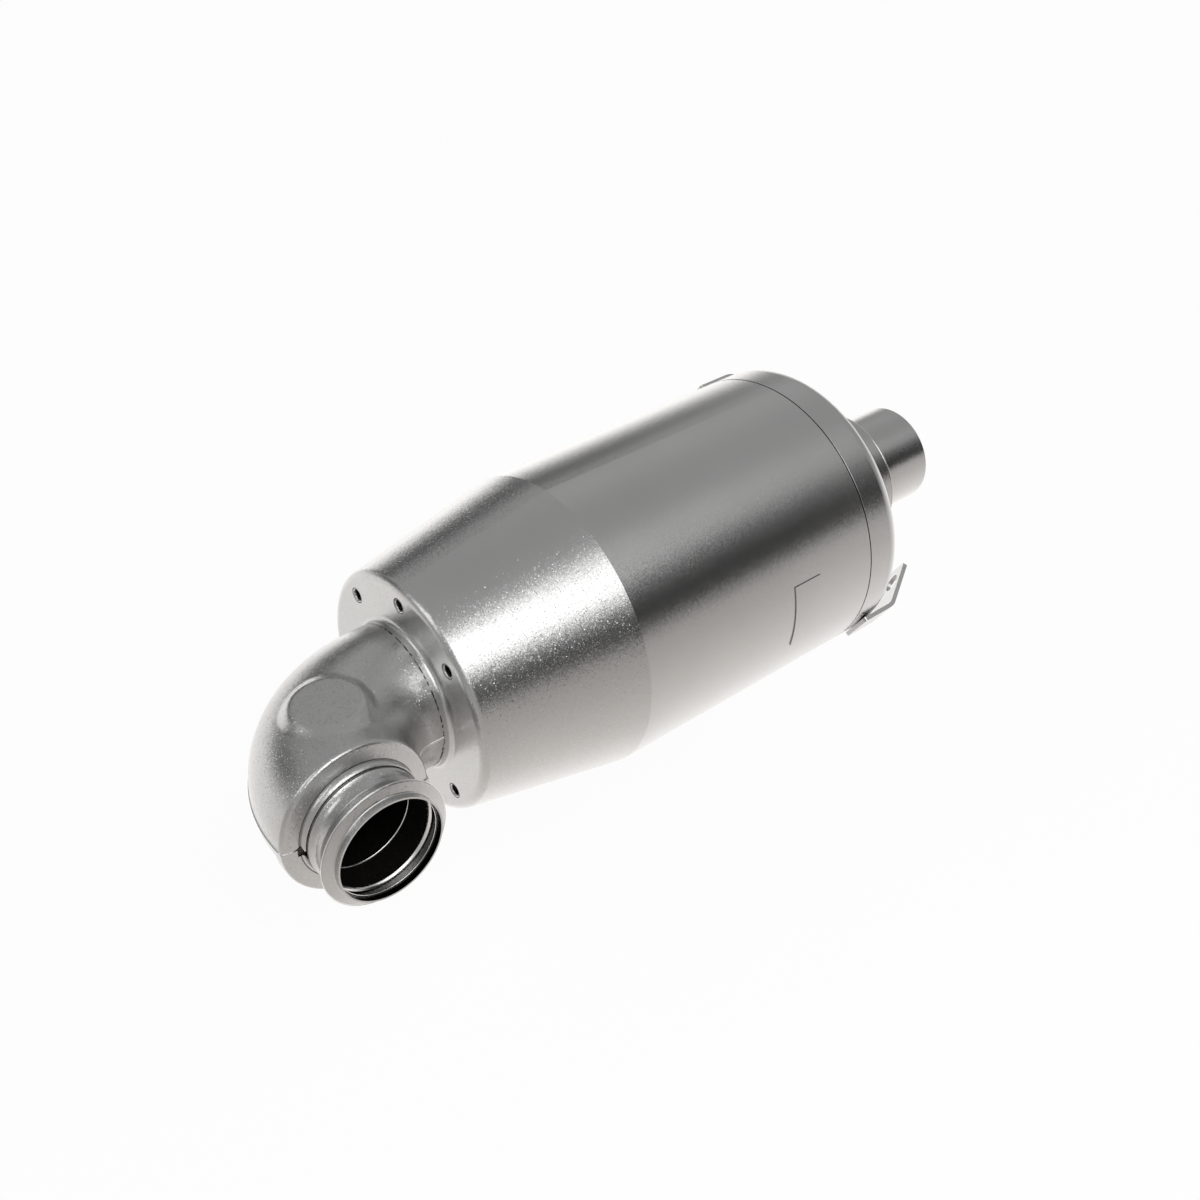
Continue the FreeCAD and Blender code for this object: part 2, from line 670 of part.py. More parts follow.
def make_elbow_shell_lower():
    body = new_body("elbow_shell_lower", along_x=neck_axis)
    wall = s.elbow_wall
    lip_inner = s.elbow_radius + s.fit_gap
    lip_outer = lip_inner + wall
    rim_face = mouth_reach + s.fit_gap + wall
    margin = s.elbow_radius * 2
    # The rim round the mouth is wider, so that the upper half shell's mouth fits inside it.
    bore = s.neck_radius + s.fit_gap
    foot_inner = rim_face + s.mouth_rise - wall
    rise = s.fit_gap + wall
    rim_full = rim_start + s.rim_run
    rim = new_sketch(body, "XY_Plane")
    draw_outline(rim, [
        (s.elbow_radius - rise, -rim_start),
        (lip_outer, -rim_full),
        (lip_outer, -rim_face, s.mouth_edge),
        (s.mouth_radius, -(rim_face + s.mouth_rise), s.mouth_bend),
        (s.mouth_radius, -collar_end),
        (bore, -collar_end),
        (bore, -foot_inner, s.mouth_bend + wall),
        (lip_inner, -(rim_face - wall), s.mouth_edge - wall / 2),
        (lip_inner, -(rim_full + wall / 4)),
        (s.elbow_radius - rise, -(rim_start + wall * 2)),
    ])
    revolve(body, "Revolution", rim, (origin_feature(body, "Y_Axis"), [""]))
    cut_box(body, as_size(0), (-margin, -neck_reach), (margin, -rim_start + wall), margin, upward=True)
    cut_box(body, -(s.lip_height + s.joggle_height), (-margin, -(rim_full + wall / 4)),
            (margin, -rim_start + wall), margin, upward=True)
    plain_start = elbow_reach - s.collar_reach - s.fit_gap
    plain = new_sketch(body, "YZ_Plane", offset=plain_start)
    draw_lipped_half(plain, joggled=False)
    extrude(body, "Pad", plain, elbow_reach + s.elbow_inset - plain_start)
    straight = new_sketch(body, "YZ_Plane", offset=s.bend_radius)
    draw_lipped_half(straight, joggled=True)
    extrude(body, "Pad", straight, plain_start - s.bend_radius)
    bend = new_sketch(body, "YZ_Plane", offset=s.bend_radius)
    draw_lipped_half(bend, joggled=True)
    draw_axis(bend, -s.bend_radius)
    revolve(body, "Revolution", bend, (bend, ["Axis0"]), angle=90.0)
    inner_edge = new_sketch(body, "XY_Plane")
    draw_outline(inner_edge, [
        (lip_inner - wall * 3, -(rim_start + wall * 2)),
        (s.elbow_radius - rise, -(rim_start + wall * 2)),
        (lip_inner, -(rim_full + wall / 4)),
        (lip_inner, -(s.bend_radius + wall)),
        (lip_inner - wall * 3, -(s.bend_radius + wall)),
    ])
    revolve(body, "Groove", inner_edge, (origin_feature(body, "Y_Axis"), [""]))
    cut_box(body, -s.notch_drop, (-s.notch_reach, -neck_reach), (s.notch_reach, -mouth_reach),
            margin, upward=True)
    return body


def make_mouth_ring():
    """Full ring that closes the ends of both half shells' collars."""
    start = collar_end + s.ring_gap
    return neck_piece("mouth_ring", [
        (s.mouth_radius - s.elbow_wall, -start),
        (s.mouth_radius, -start),
        (s.mouth_radius, -ring_end),
        (s.mouth_radius - s.elbow_wall, -ring_end),
    ])


# Gas path inside the elbow and the neck

def add_bent_section(body, draw, far_end, near_end):
    """Carries a section along the straight run, the bend and the straight run to the mouth."""
    straight = new_sketch(body, "YZ_Plane", offset=s.bend_radius)
    draw(straight)
    extrude(body, "Pad", straight, far_end - s.bend_radius)
    section = new_sketch(body, "YZ_Plane", offset=s.bend_radius)
    draw(section)
    draw_axis(section, -s.bend_radius)
    revolve(body, "Revolution", section, (section, ["Axis0"]), angle=90.0)
    if near_end is not None:
        mouth = new_sketch(body, "XZ_Plane", offset=s.bend_radius)
        draw(mouth)
        extrude(body, "Pad", mouth, near_end - s.bend_radius)


def make_elbow_pipe():
    body = new_body("elbow_pipe", along_x=neck_axis)
    inside = s.gas_radius - s.liner_wall

    def section(sketch):
        draw_circle(sketch, s.gas_radius)
        draw_circle(sketch, inside)

    add_bent_section(body, section, elbow_reach + s.gas_overlap, gas_end)
    return body


def make_elbow_blanket(label, side):
    body = new_body(label, along_x=neck_axis)
    outer = s.elbow_radius - s.elbow_wall * 2
    inner = s.gas_radius + s.fit_gap

    def section(sketch):
        draw_half_ring(sketch, outer, inner, s.fit_gap, side)

    far_end = elbow_reach + s.funnel_start - s.slip_joint - s.fit_gap
    add_bent_section(body, section, far_end, None)
    return body


def make_inlet_sleeve():
    inner = s.gas_radius + s.fit_gap
    outer = inner + s.liner_wall
    return neck_piece("inlet_sleeve", [
        (inner, -neck_start),
        (outer, -neck_start),
        (outer, -sleeve_end),
        (inner, -sleeve_end),
    ])


def make_inlet_flange():
    """Neck with a clamp-band flange formed from its own wall, and a short pilot."""
    wall = s.neck_wall
    bore = s.neck_radius - wall
    pilot_bore = s.pilot_radius - wall
    crest_inside = s.flange_radius - wall * 2
    edge = wall
    return neck_piece("inlet_flange", [
        (bore, -neck_start),
        (s.neck_radius, -neck_start),
        (s.neck_radius, -flare_start, wall * 4),
        (s.flange_radius, -flange_crest, edge),
        (s.pilot_radius, -flange_face, edge),
        (s.pilot_radius, -neck_reach),
        (pilot_bore, -neck_reach),
        (pilot_bore, -(flange_face - wall), edge * 2),
        (crest_inside, -(flange_crest - wall / 4)),
        (bore, -(flare_start + wall / 2), wall * 3),
    ])


# Inner can and what it holds

def make_inner_can():
    return ring("inner_can", inner_front, inner_back, inner_radius, inner_radius - s.liner_wall)


def brick_starts():
    """Front faces of the three bricks."""
    first = inner_front + s.brick_inset
    second = first + brick_length + s.brick_gap
    third = second + brick_length + s.brick_gap
    return first, second, third


def make_brick(label, start, length):
    """One coated brick, a plain cylinder laid along the can."""
    brick = doc.addObject("Part::Cylinder", label)
    brick.Label = label
    brick.Placement = Placement(Vector(start.value, 0, 0), Rotation(Vector(0, 1, 0), 90))
    bind(brick, "Radius", brick_radius)
    bind(brick, "Height", length)
    bind(brick, "Placement.Base.x", start)
    return brick


def make_mat(label, start, length):
    outer = inner_radius - s.liner_wall - s.fit_gap
    inner = brick_radius + s.fit_gap
    return ring(label, start + s.mat_margin, start + length - s.mat_margin, outer, inner)


def make_flow_plate():
    """Perforated plate across the front of the inner can."""
    body = new_body("flow_plate")
    first_brick = brick_starts()[0]
    start = first_brick - s.mat_margin - s.grid_wall
    disc_radius = inner_radius - s.liner_wall - s.fit_gap
    pitch = (disc_radius - s.grid_edge) / GRID_RINGS
    disc = new_sketch(body, "YZ_Plane", offset=start)
    draw_circle(disc, disc_radius)
    extrude(body, "Pad", disc, s.grid_wall)
    centre = new_sketch(body, "YZ_Plane", offset=start)
    draw_circle(centre, s.grid_hole)
    extrude(body, "Pocket", centre, s.grid_wall, reverse=True)
    for number in range(1, GRID_RINGS + 1):
        hole = new_sketch(body, "YZ_Plane", offset=start)
        draw_circle(hole, s.grid_hole, up=pitch * number)
        cut = extrude(body, "Pocket", hole, s.grid_wall, reverse=True)
        repeat_round(body, cut, 6 * number)
    return body


def make_diffuser_cone():
    """Spun cone from the elbow pipe to the inner can, with a skirt over each."""
    wall = s.liner_wall
    small_inside = s.gas_radius + s.fit_gap
    small_outside = small_inside + wall
    narrow = plate + s.funnel_start
    neck_end = narrow - s.slip_joint
    skirt_start = inner_front - wall
    skirt_end = skirt_start + s.slip_joint
    return turned("diffuser_cone", [
        (neck_end, small_inside),
        (narrow, small_inside),
        (skirt_start, inner_radius - wall),
        (skirt_start + wall, skirt_inside),
        (skirt_end, skirt_inside),
        (skirt_end, skirt_outside),
        (skirt_start, skirt_outside),
        (narrow, small_outside),
        (neck_end, small_outside),
    ])


def make_outlet_reducer():
    wall = s.liner_wall
    small_inside = s.outlet_radius + s.fit_gap
    small_outside = small_inside + wall
    skirt_end = inner_back + wall
    skirt_start = skirt_end - s.slip_joint
    narrow = skirt_end + s.funnel_back
    neck_end = narrow + s.slip_joint
    return turned("outlet_reducer", [
        (skirt_start, skirt_inside),
        (skirt_end - wall, skirt_inside),
        (skirt_end, inner_radius - wall),
        (narrow, small_inside),
        (neck_end, small_inside),
        (neck_end, small_outside),
        (narrow + wall, small_outside),
        (skirt_end + wall, skirt_outside),
        (skirt_start, skirt_outside),
    ])


def make_support_ring(label, start, direction):
    """Pressed ring of channel section between the inner can's skirt and the skin."""
    wall = s.skin_wall
    inner = skirt_outside + s.fit_gap
    outer = skin_inside - s.fit_gap
    web_end = start + direction * wall
    end = start + direction * s.ring_width
    return turned(label, [
        (start, inner),
        (end, inner),
        (end, inner + wall),
        (web_end, inner + wall),
        (web_end, outer - wall),
        (end, outer - wall),
        (end, outer),
        (start, outer),
    ])


def make_outlet_pipe():
    return ring("outlet_pipe", cap_face - s.outlet_inset, as_size(0), s.outlet_radius,
                s.outlet_radius - s.outlet_wall)


# Insulation

def make_can_blanket(start, end):
    return ring("can_blanket", start, end, skin_inside - s.fit_gap, skirt_outside + s.fit_gap)


def make_cone_blanket():
    """Blanket between the diffuser and the pressed cone."""
    gap = s.fit_gap * 2
    front = plate + s.plate_air
    back = crease
    outer_back = s.can_radius - s.skin_wall * cone_share - gap
    outer_front = outer_back - cone_slope * (back - front)
    small = s.gas_radius + s.fit_gap + s.liner_wall + gap
    narrow = plate + s.funnel_start
    wide = skirt_outside + gap
    return turned("cone_blanket", [
        (front, small),
        (narrow, small),
        (inner_front - s.inner_inset, wide),
        (back, outer_back),
        (front, outer_front),
    ])


def make_cap_blanket():
    """Blanket between the reducer and the cap."""
    gap = s.fit_gap * 2
    back = cap_face - s.skin_wall - s.fit_gap
    start = seam + s.lap_length + s.fit_gap
    outer = skin_inside - gap
    bore = s.stub_radius + gap
    skirt_end = inner_back + s.liner_wall * 2
    narrow = skirt_end + s.funnel_back
    small = s.outlet_radius + s.fit_gap + s.liner_wall
    drop = (skirt_outside - small) / s.funnel_back
    inner_start = skirt_outside - drop * (start - skirt_end) + s.liner_wall * 2
    clear = back - s.stub_inset
    return turned("cap_blanket", [
        (start, inner_start),
        (narrow + s.liner_wall, small + gap),
        (clear, small + gap),
        (clear, bore),
        (back, bore),
        (back, outer, s.cap_edge - s.skin_wall),
        (start, outer),
    ])


def make_neck_blanket():
    end = cap_face + s.stub_length - s.skin_wall - s.fit_gap
    return ring("neck_blanket", cap_face - s.fit_gap, end, s.stub_radius - s.skin_wall - s.fit_gap,
                s.outlet_radius + s.fit_gap)


# Brackets and the bare plate

def make_bracket(label, start_gap, turn):
    """Flat strap, bent in behind the cap, with one bolt hole in the bent leg."""
    body = new_body(label)
    wall = s.strap_wall
    start = seam + start_gap
    bend = start + s.strap_run
    face = s.can_radius + s.fit_gap
    end_inner = (bend + s.strap_leg * cosine(s.strap_angle), face - s.strap_leg * sine(s.strap_angle))
    end_outer = (end_inner[0] + wall * sine(s.strap_angle), end_inner[1] + wall * cosine(s.strap_angle))
    bend_outer = bend + wall * tangent(s.strap_angle / 2)
    sketch = new_sketch(body, "XZ_Plane")
    draw_outline(sketch, [
        (start, face),
        (bend, face, s.strap_bend),
        end_inner,
        end_outer,
        (bend_outer, face + wall, s.strap_bend + wall),
        (start, face + wall),
    ])
    strap = extrude(body, "Pad", sketch, s.strap_width, midplane=True)
    doc.recompute()
    ends = (start.value, end_inner[0].value, end_outer[0].value)
    corners = [f"Edge{number}" for number, edge in enumerate(strap.Shape.Edges, start=1)
               if is_corner(edge, ends)]
    rounding = body.newObject("PartDesign::Fillet", "fillet")
    rounding.Base = (strap, corners)
    bind(rounding, "Radius", s.strap_corner)
    hole_x = bend + s.strap_hole_at * cosine(s.strap_angle)
    hole_z = face - s.strap_hole_at * sine(s.strap_angle)
    hole = new_sketch(body, "XY_Plane")
    hole.AttachmentOffset = Placement(Vector(hole_x.value, 0, hole_z.value),
                                      Rotation(Vector(0, 1, 0), s.strap_angle.value))
    bind(hole, "AttachmentOffset.Base.x", hole_x)
    bind(hole, "AttachmentOffset.Base.z", hole_z)
    bind(hole, "AttachmentOffset.Rotation.Angle", s.strap_angle)
    draw_circle(hole, s.strap_hole, up=s.strap_hole_side)
    extrude(body, "Pocket", hole, wall * 4, midplane=True)
    body.Placement = Placement(Vector(0, 0, 0), Rotation(Vector(1, 0, 0), turn.value))
    bind(body, "Placement.Rotation.Angle", turn)
    return body


def is_corner(edge, ends):
    """Short straight edge through the strap's thickness at one of its ends."""
    first, last = edge.Vertexes[0].Point, edge.Vertexes[-1].Point
    level = abs(first.y - last.y) < 1e-4
    return level and all(min(abs(point.x - end) for end in ends) < 1e-4 for point in (first, last))


def make_name_plate():
    """Thin bare plate curved to the can, centred on the side that the neck points to."""
    face = s.can_radius + s.fit_gap
    start = seam - s.label_at
    end = start + s.label_width
    spread = s.label_height / s.can_radius * (HALF_TURN / math.pi)
    body = turned("name_plate", [
        (start, face),
        (end, face),
        (end, face + s.label_wall),
        (start, face + s.label_wall),
    ], angle=spread, midplane=True)
    body.Placement = Placement(Vector(0, 0, 0), Rotation(Vector(1, 0, 0), 90))
    return body


def build():
    bricks = brick_starts()
    ring_front = crease + s.fit_gap
    ring_back = inner_back + s.liner_wall
    return [
        make_can_shell(),
        make_inlet_cone(),
        make_outlet_cap(),
        make_outlet_collar(),
        make_outlet_pipe(),
        make_elbow_shell_upper(),
        make_elbow_shell_lower(),
        make_mouth_ring(),
        make_elbow_pipe(),
        make_inlet_sleeve(),
        make_inlet_flange(),
        make_elbow_blanket("elbow_blanket_upper", UPPER_HALF),
        make_elbow_blanket("elbow_blanket_lower", LOWER_HALF),
        make_inner_can(),
        make_diffuser_cone(),
        make_flow_plate(),
        make_brick("scr_brick_front", bricks[0], brick_length),
        make_brick("scr_brick_rear", bricks[1], brick_length),
        make_brick("slip_brick", bricks[2], s.slip_length),
        make_mat("brick_mat_front", bricks[0], brick_length),
        make_mat("brick_mat_rear", bricks[1], brick_length),
        make_mat("brick_mat_slip", bricks[2], s.slip_length),
        make_outlet_reducer(),
        make_support_ring("front_ring", ring_front, 1),
        make_support_ring("rear_ring", ring_back, -1),
        make_can_blanket(ring_front + s.ring_width + s.fit_gap, ring_back - s.ring_width - s.fit_gap),
        make_cone_blanket(),
        make_cap_blanket(),
        make_neck_blanket(),
        make_bracket("lower_bracket", s.lower_start, s.strap_turn),
        make_bracket("upper_bracket", s.upper_start, s.strap_turn - HALF_TURN),
        make_name_plate(),
    ]


pieces = build()
doc.recompute()
for item in doc.Objects:
    if "Invalid" in item.State or "Error" in item.State:
        raise RuntimeError(f"{item.Label} failed: {item.State}")
for piece in pieces:
    if piece.Shape.isNull() or not piece.Shape.isValid() or not piece.Shape.Solids:
        raise RuntimeError(f"{piece.Label} has no valid solid")

os.makedirs("parts", exist_ok=True)
for piece in pieces:
    piece.Shape.exportStep(f"parts/{piece.Label}.step")
    box = piece.Shape.BoundBox
    print(f"{piece.Label}: {len(piece.Shape.Solids)} solid, {piece.Shape.Volume / 1000:.1f} cm3, "
          f"x {box.XMin:.1f} to {box.XMax:.1f}, y {box.YMin:.1f} to {box.YMax:.1f}, "
          f"z {box.ZMin:.1f} to {box.ZMax:.1f}")
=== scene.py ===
import math

import bmesh
import bpy
import numpy as np
from bpy.props import FloatProperty, FloatVectorProperty, IntProperty, PointerProperty
from mathutils import Matrix, Vector


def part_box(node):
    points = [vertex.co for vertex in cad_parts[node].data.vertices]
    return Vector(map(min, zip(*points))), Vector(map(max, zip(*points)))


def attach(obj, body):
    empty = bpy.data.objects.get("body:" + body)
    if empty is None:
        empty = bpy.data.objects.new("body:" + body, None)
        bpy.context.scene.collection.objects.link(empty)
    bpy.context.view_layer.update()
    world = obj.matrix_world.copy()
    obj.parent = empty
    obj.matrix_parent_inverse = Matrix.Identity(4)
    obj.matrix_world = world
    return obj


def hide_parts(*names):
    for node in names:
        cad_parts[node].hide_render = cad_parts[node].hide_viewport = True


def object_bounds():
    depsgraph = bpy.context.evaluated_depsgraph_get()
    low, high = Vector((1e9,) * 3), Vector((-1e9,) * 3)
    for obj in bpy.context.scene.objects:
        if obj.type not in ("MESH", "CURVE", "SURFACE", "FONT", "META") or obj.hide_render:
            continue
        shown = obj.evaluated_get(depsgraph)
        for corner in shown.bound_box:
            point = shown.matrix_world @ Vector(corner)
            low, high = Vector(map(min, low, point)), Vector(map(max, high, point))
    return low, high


bl_info = {
    "name": "Catalytic converter",
    "version": (1, 0, 0),
    "blender": (4, 5, 0),
    "location": "View3D > Sidebar > Converter",
    "description": "Finishes the packed converter in satin stainless steel and lights it in a white studio",
    "category": "Object",
}

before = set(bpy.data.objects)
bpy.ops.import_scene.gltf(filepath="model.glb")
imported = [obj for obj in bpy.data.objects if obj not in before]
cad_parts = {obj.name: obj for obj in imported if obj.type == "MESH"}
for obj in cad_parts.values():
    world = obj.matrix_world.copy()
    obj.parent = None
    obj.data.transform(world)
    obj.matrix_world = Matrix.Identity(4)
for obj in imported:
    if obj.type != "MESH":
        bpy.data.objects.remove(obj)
CAD_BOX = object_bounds()
FULL_TURN = 2 * math.pi
INNER_SHEETS = ("inner_can", "diffuser_cone", "flow_plate", "outlet_reducer", "front_ring", "rear_ring")
BLANKETS = ("can_blanket", "cone_blanket", "cap_blanket", "neck_blanket", "elbow_blanket_upper",
            "elbow_blanket_lower")
BRICKS = ("scr_brick_front", "scr_brick_rear", "slip_brick")
MATS = ("brick_mat_front", "brick_mat_rear", "brick_mat_slip")
# Rounded edges about the neck's axis, in metres: inner and outer radius, each with its station from
# the can's axis, and thickness. In order: the gas pipe's end, the liner's opening lip, the narrow gap
# inside the mouth's collar, the flange's widest edge and the pilot's inner edge.
NECK_EDGES = {
    "elbow_pipe_edge": ((0.0501, 0.1245), (0.0535, 0.1245), 0.0026),
    "inlet_sleeve_lip": ((0.0532, 0.1532), (0.0565, 0.1567), 0.0016),
    "collar_gap_edge": ((0.0579, 0.1312), (0.0585, 0.1312), 0.0005),
    "flange_edge": ((0.0662, 0.1631), (0.0669, 0.1631), 0.0008),
    "pilot_inner_edge": ((0.0527, 0.1664), (0.0541, 0.1664), 0.0014),
}
# End plate holes: radius of their circle and of the painted shade line round each, and their places
# in degrees, two groups of three.
HOLE_CIRCLE = 0.110
HOLE_LINE = 0.0080
HOLE_TURNS = (46.0, 91.0, 136.0, 226.0, 271.0, 316.0)
# Soft rectangles on the studio sky: strength, then middle, half size and edge as (azimuth, height) in
# degrees. Dark ones take that share of the light away. Light ones add to it: the soft box first, then
# the lift behind the can, the side light, three faint lifts and one faint shade.
DARK_PANELS = (
    (1.0, (-66, 20.5), (30, 15.5), (10, 5)),
    (0.88, (73, 21), (23, 9), (8, 8)),
    (0.8, (118, 20), (14, 10), (8, 8)),
)
LIGHT_PANELS = (
    (2.15, (-98, 51), (36, 16), (22, 11)),
    (0.5, (60, -11), (14, 9), (12, 12)),
    (1.3, (165, 48), (18, 15), (10, 10)),
    (0.17, (-42, 52), (24, 9), (14, 8)),
    (0.08, (50, 42), (20, 10), (15, 8)),
    (0.08, (50, 31), (10, 6), (10, 6)),
    (-0.14, (130, -36), (25, 18), (20, 18)),
)


# Shader sums in plain Python

class Value:
    """A number socket of a node tree; sums with it add Math nodes."""

    def __init__(self, tree, socket):
        self.tree = tree
        self.socket = socket

    def math(self, operation, *terms):
        made = self.tree.nodes.new("ShaderNodeMath")
        made.operation = operation
        for slot, term in zip(made.inputs, terms):
            connect(self.tree, slot, term)
        return Value(self.tree, made.outputs[0])

    def __add__(self, other):
        return self.math("ADD", self, other)

    def __radd__(self, other):
        return self.math("ADD", other, self)

    def __sub__(self, other):
        return self.math("SUBTRACT", self, other)

    def __rsub__(self, other):
        return self.math("SUBTRACT", other, self)

    def __mul__(self, other):
        return self.math("MULTIPLY", self, other)

    def __rmul__(self, other):
        return self.math("MULTIPLY", other, self)

    def __truediv__(self, other):
        return self.math("DIVIDE", self, other)

    def __rtruediv__(self, other):
        return self.math("DIVIDE", other, self)

    def __pow__(self, other):
        return self.math("POWER", self, other)

    def __rpow__(self, other):
        return self.math("POWER", other, self)

    def __abs__(self):
        return self.math("ABSOLUTE", self)

    def at_least(self, other):
        return self.math("MAXIMUM", self, other)

    def angle_to(self, across):
        """Angle of the point (across, self) round the centre."""
        return self.math("ARCTAN2", self, across)

    def root(self):
        return self.math("SQRT", self)

    def arcsine(self):
        return self.math("ARCSINE", self)

    def part(self):
        """What is left after the whole number below is taken away."""
        return self.math("FRACT", self)

    def rise(self, start, end):
        """Smooth step from 0 at start to 1 at end."""
        made = self.tree.nodes.new("ShaderNodeMapRange")
        made.interpolation_type = "SMOOTHSTEP"
        connect(self.tree, made.inputs["Value"], self)
        made.inputs["From Min"].default_value = start
        made.inputs["From Max"].default_value = end
        return Value(self.tree, made.outputs["Result"])


def connect(tree, slot, term):
    """Links a value or a socket to an input, or sets a plain number or colour on it."""
    if isinstance(term, Value):
        tree.links.new(term.socket, slot)
    elif isinstance(term, bpy.types.NodeSocket):
        tree.links.new(term, slot)
    else:
        slot.default_value = term


class Shader:
    """One node tree, with the few helpers that all finishes share."""

    def __init__(self, owner):
        owner.use_nodes = True
        self.tree = owner.node_tree
        self.tree.nodes.clear()

    def node(self, kind, settings=None, inputs=None):
        """Adds a node, sets its settings, then the values or links of its sockets."""
        made = self.tree.nodes.new(kind)
        for name, value in (settings or {}).items():
            setattr(made, name, value)
        for name, value in (inputs or {}).items():
            connect(self.tree, made.inputs[name], value)
        return made

    def value(self, made, name):
        return Value(self.tree, made.outputs[name])

    def place(self):
        """Object coordinates as a vector and as three values."""
        vector = self.node("ShaderNodeTexCoord").outputs["Object"]
        parts = self.node("ShaderNodeSeparateXYZ", inputs={"Vector": vector})
        return vector, *(self.value(parts, axis) for axis in "XYZ")

    def vector(self, across, along, up):
        made = self.node("ShaderNodeCombineXYZ", inputs={"X": across, "Y": along, "Z": up})
        return made.outputs["Vector"]

    def noise(self, vector, scale, detail=2.0, rough=0.5):
        made = self.node("ShaderNodeTexNoise", inputs={
            "Vector": vector, "Scale": scale, "Detail": detail, "Roughness": rough})
        return self.value(made, "Fac")

    def blend(self, factor, first, second):
        made = self.node("ShaderNodeMix", {"data_type": "RGBA"})
        connect(self.tree, made.inputs["Factor"], factor)
        # Inputs 6 and 7 and output 2 are the node's colour sockets.
        connect(self.tree, made.inputs[6], first)
        connect(self.tree, made.inputs[7], second)
        return made.outputs[2]

    def vector_sum(self, operation, first, second=None):
        made = self.node("ShaderNodeVectorMath", {"operation": operation})
        connect(self.tree, made.inputs[0], first)
        if second is not None:
            connect(self.tree, made.inputs["Scale" if operation == "SCALE" else 1], second)
        return made.outputs["Vector"]

    def facets(self, vector, size, tilt, glint):
        """Normal that leans by chance in each grain: a little in all of them, far in a few."""
        cells = self.node("ShaderNodeTexVoronoi", inputs={"Vector": vector, "Scale": 1 / size})
        parts = self.node("ShaderNodeSeparateXYZ", inputs={"Vector": cells.outputs["Position"]})
        # Large unlike factors, so that the part after the point is chance from grain to grain.
        mixed = (self.value(parts, "X") * 937.0 + self.value(parts, "Y") * 571.0
                 + self.value(parts, "Z") * 709.0)
        chance = (mixed * 43.7).part()
        lean = self.vector_sum("SUBTRACT", cells.outputs["Color"], (0.5, 0.5, 0.5))
        lean = self.vector_sum("SCALE", lean, chance ** 7.0 * glint + tilt)
        normal = self.node("ShaderNodeNewGeometry").outputs["Normal"]
        return self.vector_sum("NORMALIZE", self.vector_sum("ADD", normal, lean))

    def bump(self, height, distance, strength=1.0, normal=None):
        inputs = {"Height": height, "Distance": distance, "Strength": strength}
        if normal is not None:
            inputs["Normal"] = normal
        return self.node("ShaderNodeBump", inputs=inputs).outputs["Normal"]

    def finish(self, **inputs):
        """Principled surface; keyword names use underscores for the spaces in socket names."""
        named = {name.replace("_", " "): value for name, value in inputs.items()}
        surface = self.node("ShaderNodeBsdfPrincipled", inputs=named)
        self.node("ShaderNodeOutputMaterial", inputs={"Surface": surface.outputs["BSDF"]})


def new_material(name):
    material = bpy.data.materials.new(name)
    return material, Shader(material)


def wear(material, *nodes):
    """Puts one material on carried-over nodes."""
    for name in nodes:
        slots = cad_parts[name].data.materials
        slots.clear()
        slots.append(material)


def grey(level, warmth=0.0):
    """Opaque grey; warmth above 0 takes it towards yellow."""
    return (level * (1 + warmth), level, level * (1 - warmth), 1.0)


# Finishes

def steel(name, sizes, shade=1.0, rough=0.0, glint=0.0, lines=None, shadow=None):
    """Satin stainless sheet. Each fine grain leans by chance, and a few lean far where glint asks for
    the sparkle of a pressed sheet. Slow noise changes colour and roughness, and drawn lines run
    round or along the piece where lines names how. shade scales the sheet's colour; a lighter copy
    paints a highlight on rounded edges. shadow gives the share of a place painted dark as shade,
    such as a narrow gap."""
    material, shader = new_material(name)
    vector, x, y, z = shader.place()
    normal = shader.facets(vector, sizes.grain_size, sizes.grain_tilt, sizes.glint_tilt * glint)
    grain = shader.noise(vector, 0.6 / sizes.grain_size, detail=1.5, rough=0.6)
    cloud = shader.noise(vector, 7.0, detail=3.0)
    if lines is not None:
        drawn = shader.noise(lines(shader, x, y, z), 1.0, detail=2.0, rough=0.7)
        grain = grain + drawn * sizes.line_depth
    normal = shader.bump(grain, sizes.grain_depth, normal=normal)
    level = shader.noise(vector, 260.0, detail=2.0)
    tone = sizes.steel_colour
    dark = tuple(part * shade * 0.98 for part in tone) + (1.0,)
    light = tuple(min(part * shade * 1.02, 1.0) for part in tone) + (1.0,)
    base = shader.blend(cloud.rise(0.3, 0.7), dark, light)
    roughness = sizes.roughness + rough + (cloud - 0.5) * 0.015 + (level - 0.5) * 0.03
    # Painted shade: the shadow share turns the colour near black.
    if shadow is not None:
        base = shader.blend(shadow(shader, x, y, z), base, grey(0.02, 0.1))
    shader.finish(Base_Color=base, Metallic=1.0, Roughness=roughness, Normal=normal)
    return material


def round_can(shader, x, y, z):
    """Lines round the can: fast change along X, slow change with the angle."""
    return shader.vector(x * 1500.0, z.angle_to(y) * 3.0, 0.0)


def round_neck(shader, x, y, z):
    """Lines round the neck: fast change along Y, slow change with the angle about its axis."""
    return shader.vector(z.angle_to(x - neck_middle()) * 3.0, y * 1500.0, 0.0)


def along_strap(shader, x, y, z):
    """Lines along the can, as on rolled strip."""
    return shader.vector(x * 20.0, z.angle_to(y) * 160.0, 0.0)


def seam_shadow(shader, x, y, z):
    """Painted shade: dark where the can's stepped lip lies deep in the seam."""
    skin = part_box("can_shell")[1][1]
    reach = (y * y + z * z).root()
    return 1 - reach.rise(skin - 0.0022, skin - 0.0012)


def collar_shadow(shader, x, y, z):
    """Painted shade in thin dark lines on the elbow: one just outside the end plate's collar, open where
    they touch, and one on the mouth's face round the foot of its collar."""
    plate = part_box("inlet_cone")[0][0]
    open_share = shader.noise(shader.vector(z.angle_to(y) * 12.0, 0.0, 0.0), 1.0).rise(0.4, 0.55)
    dashes = (1 - abs(x - plate + 0.0006).rise(0.0004, 0.0009)) * open_share
    side = x - neck_middle()
    foot_radius, face, strength = 0.0629, -0.1185, 0.8
    away = abs((side * side + z * z).root() - foot_radius).rise(0.0003, 0.0007)
    away = away.at_least(y.rise(face, face + 0.0005))
    return dashes.at_least(strength - away * strength)


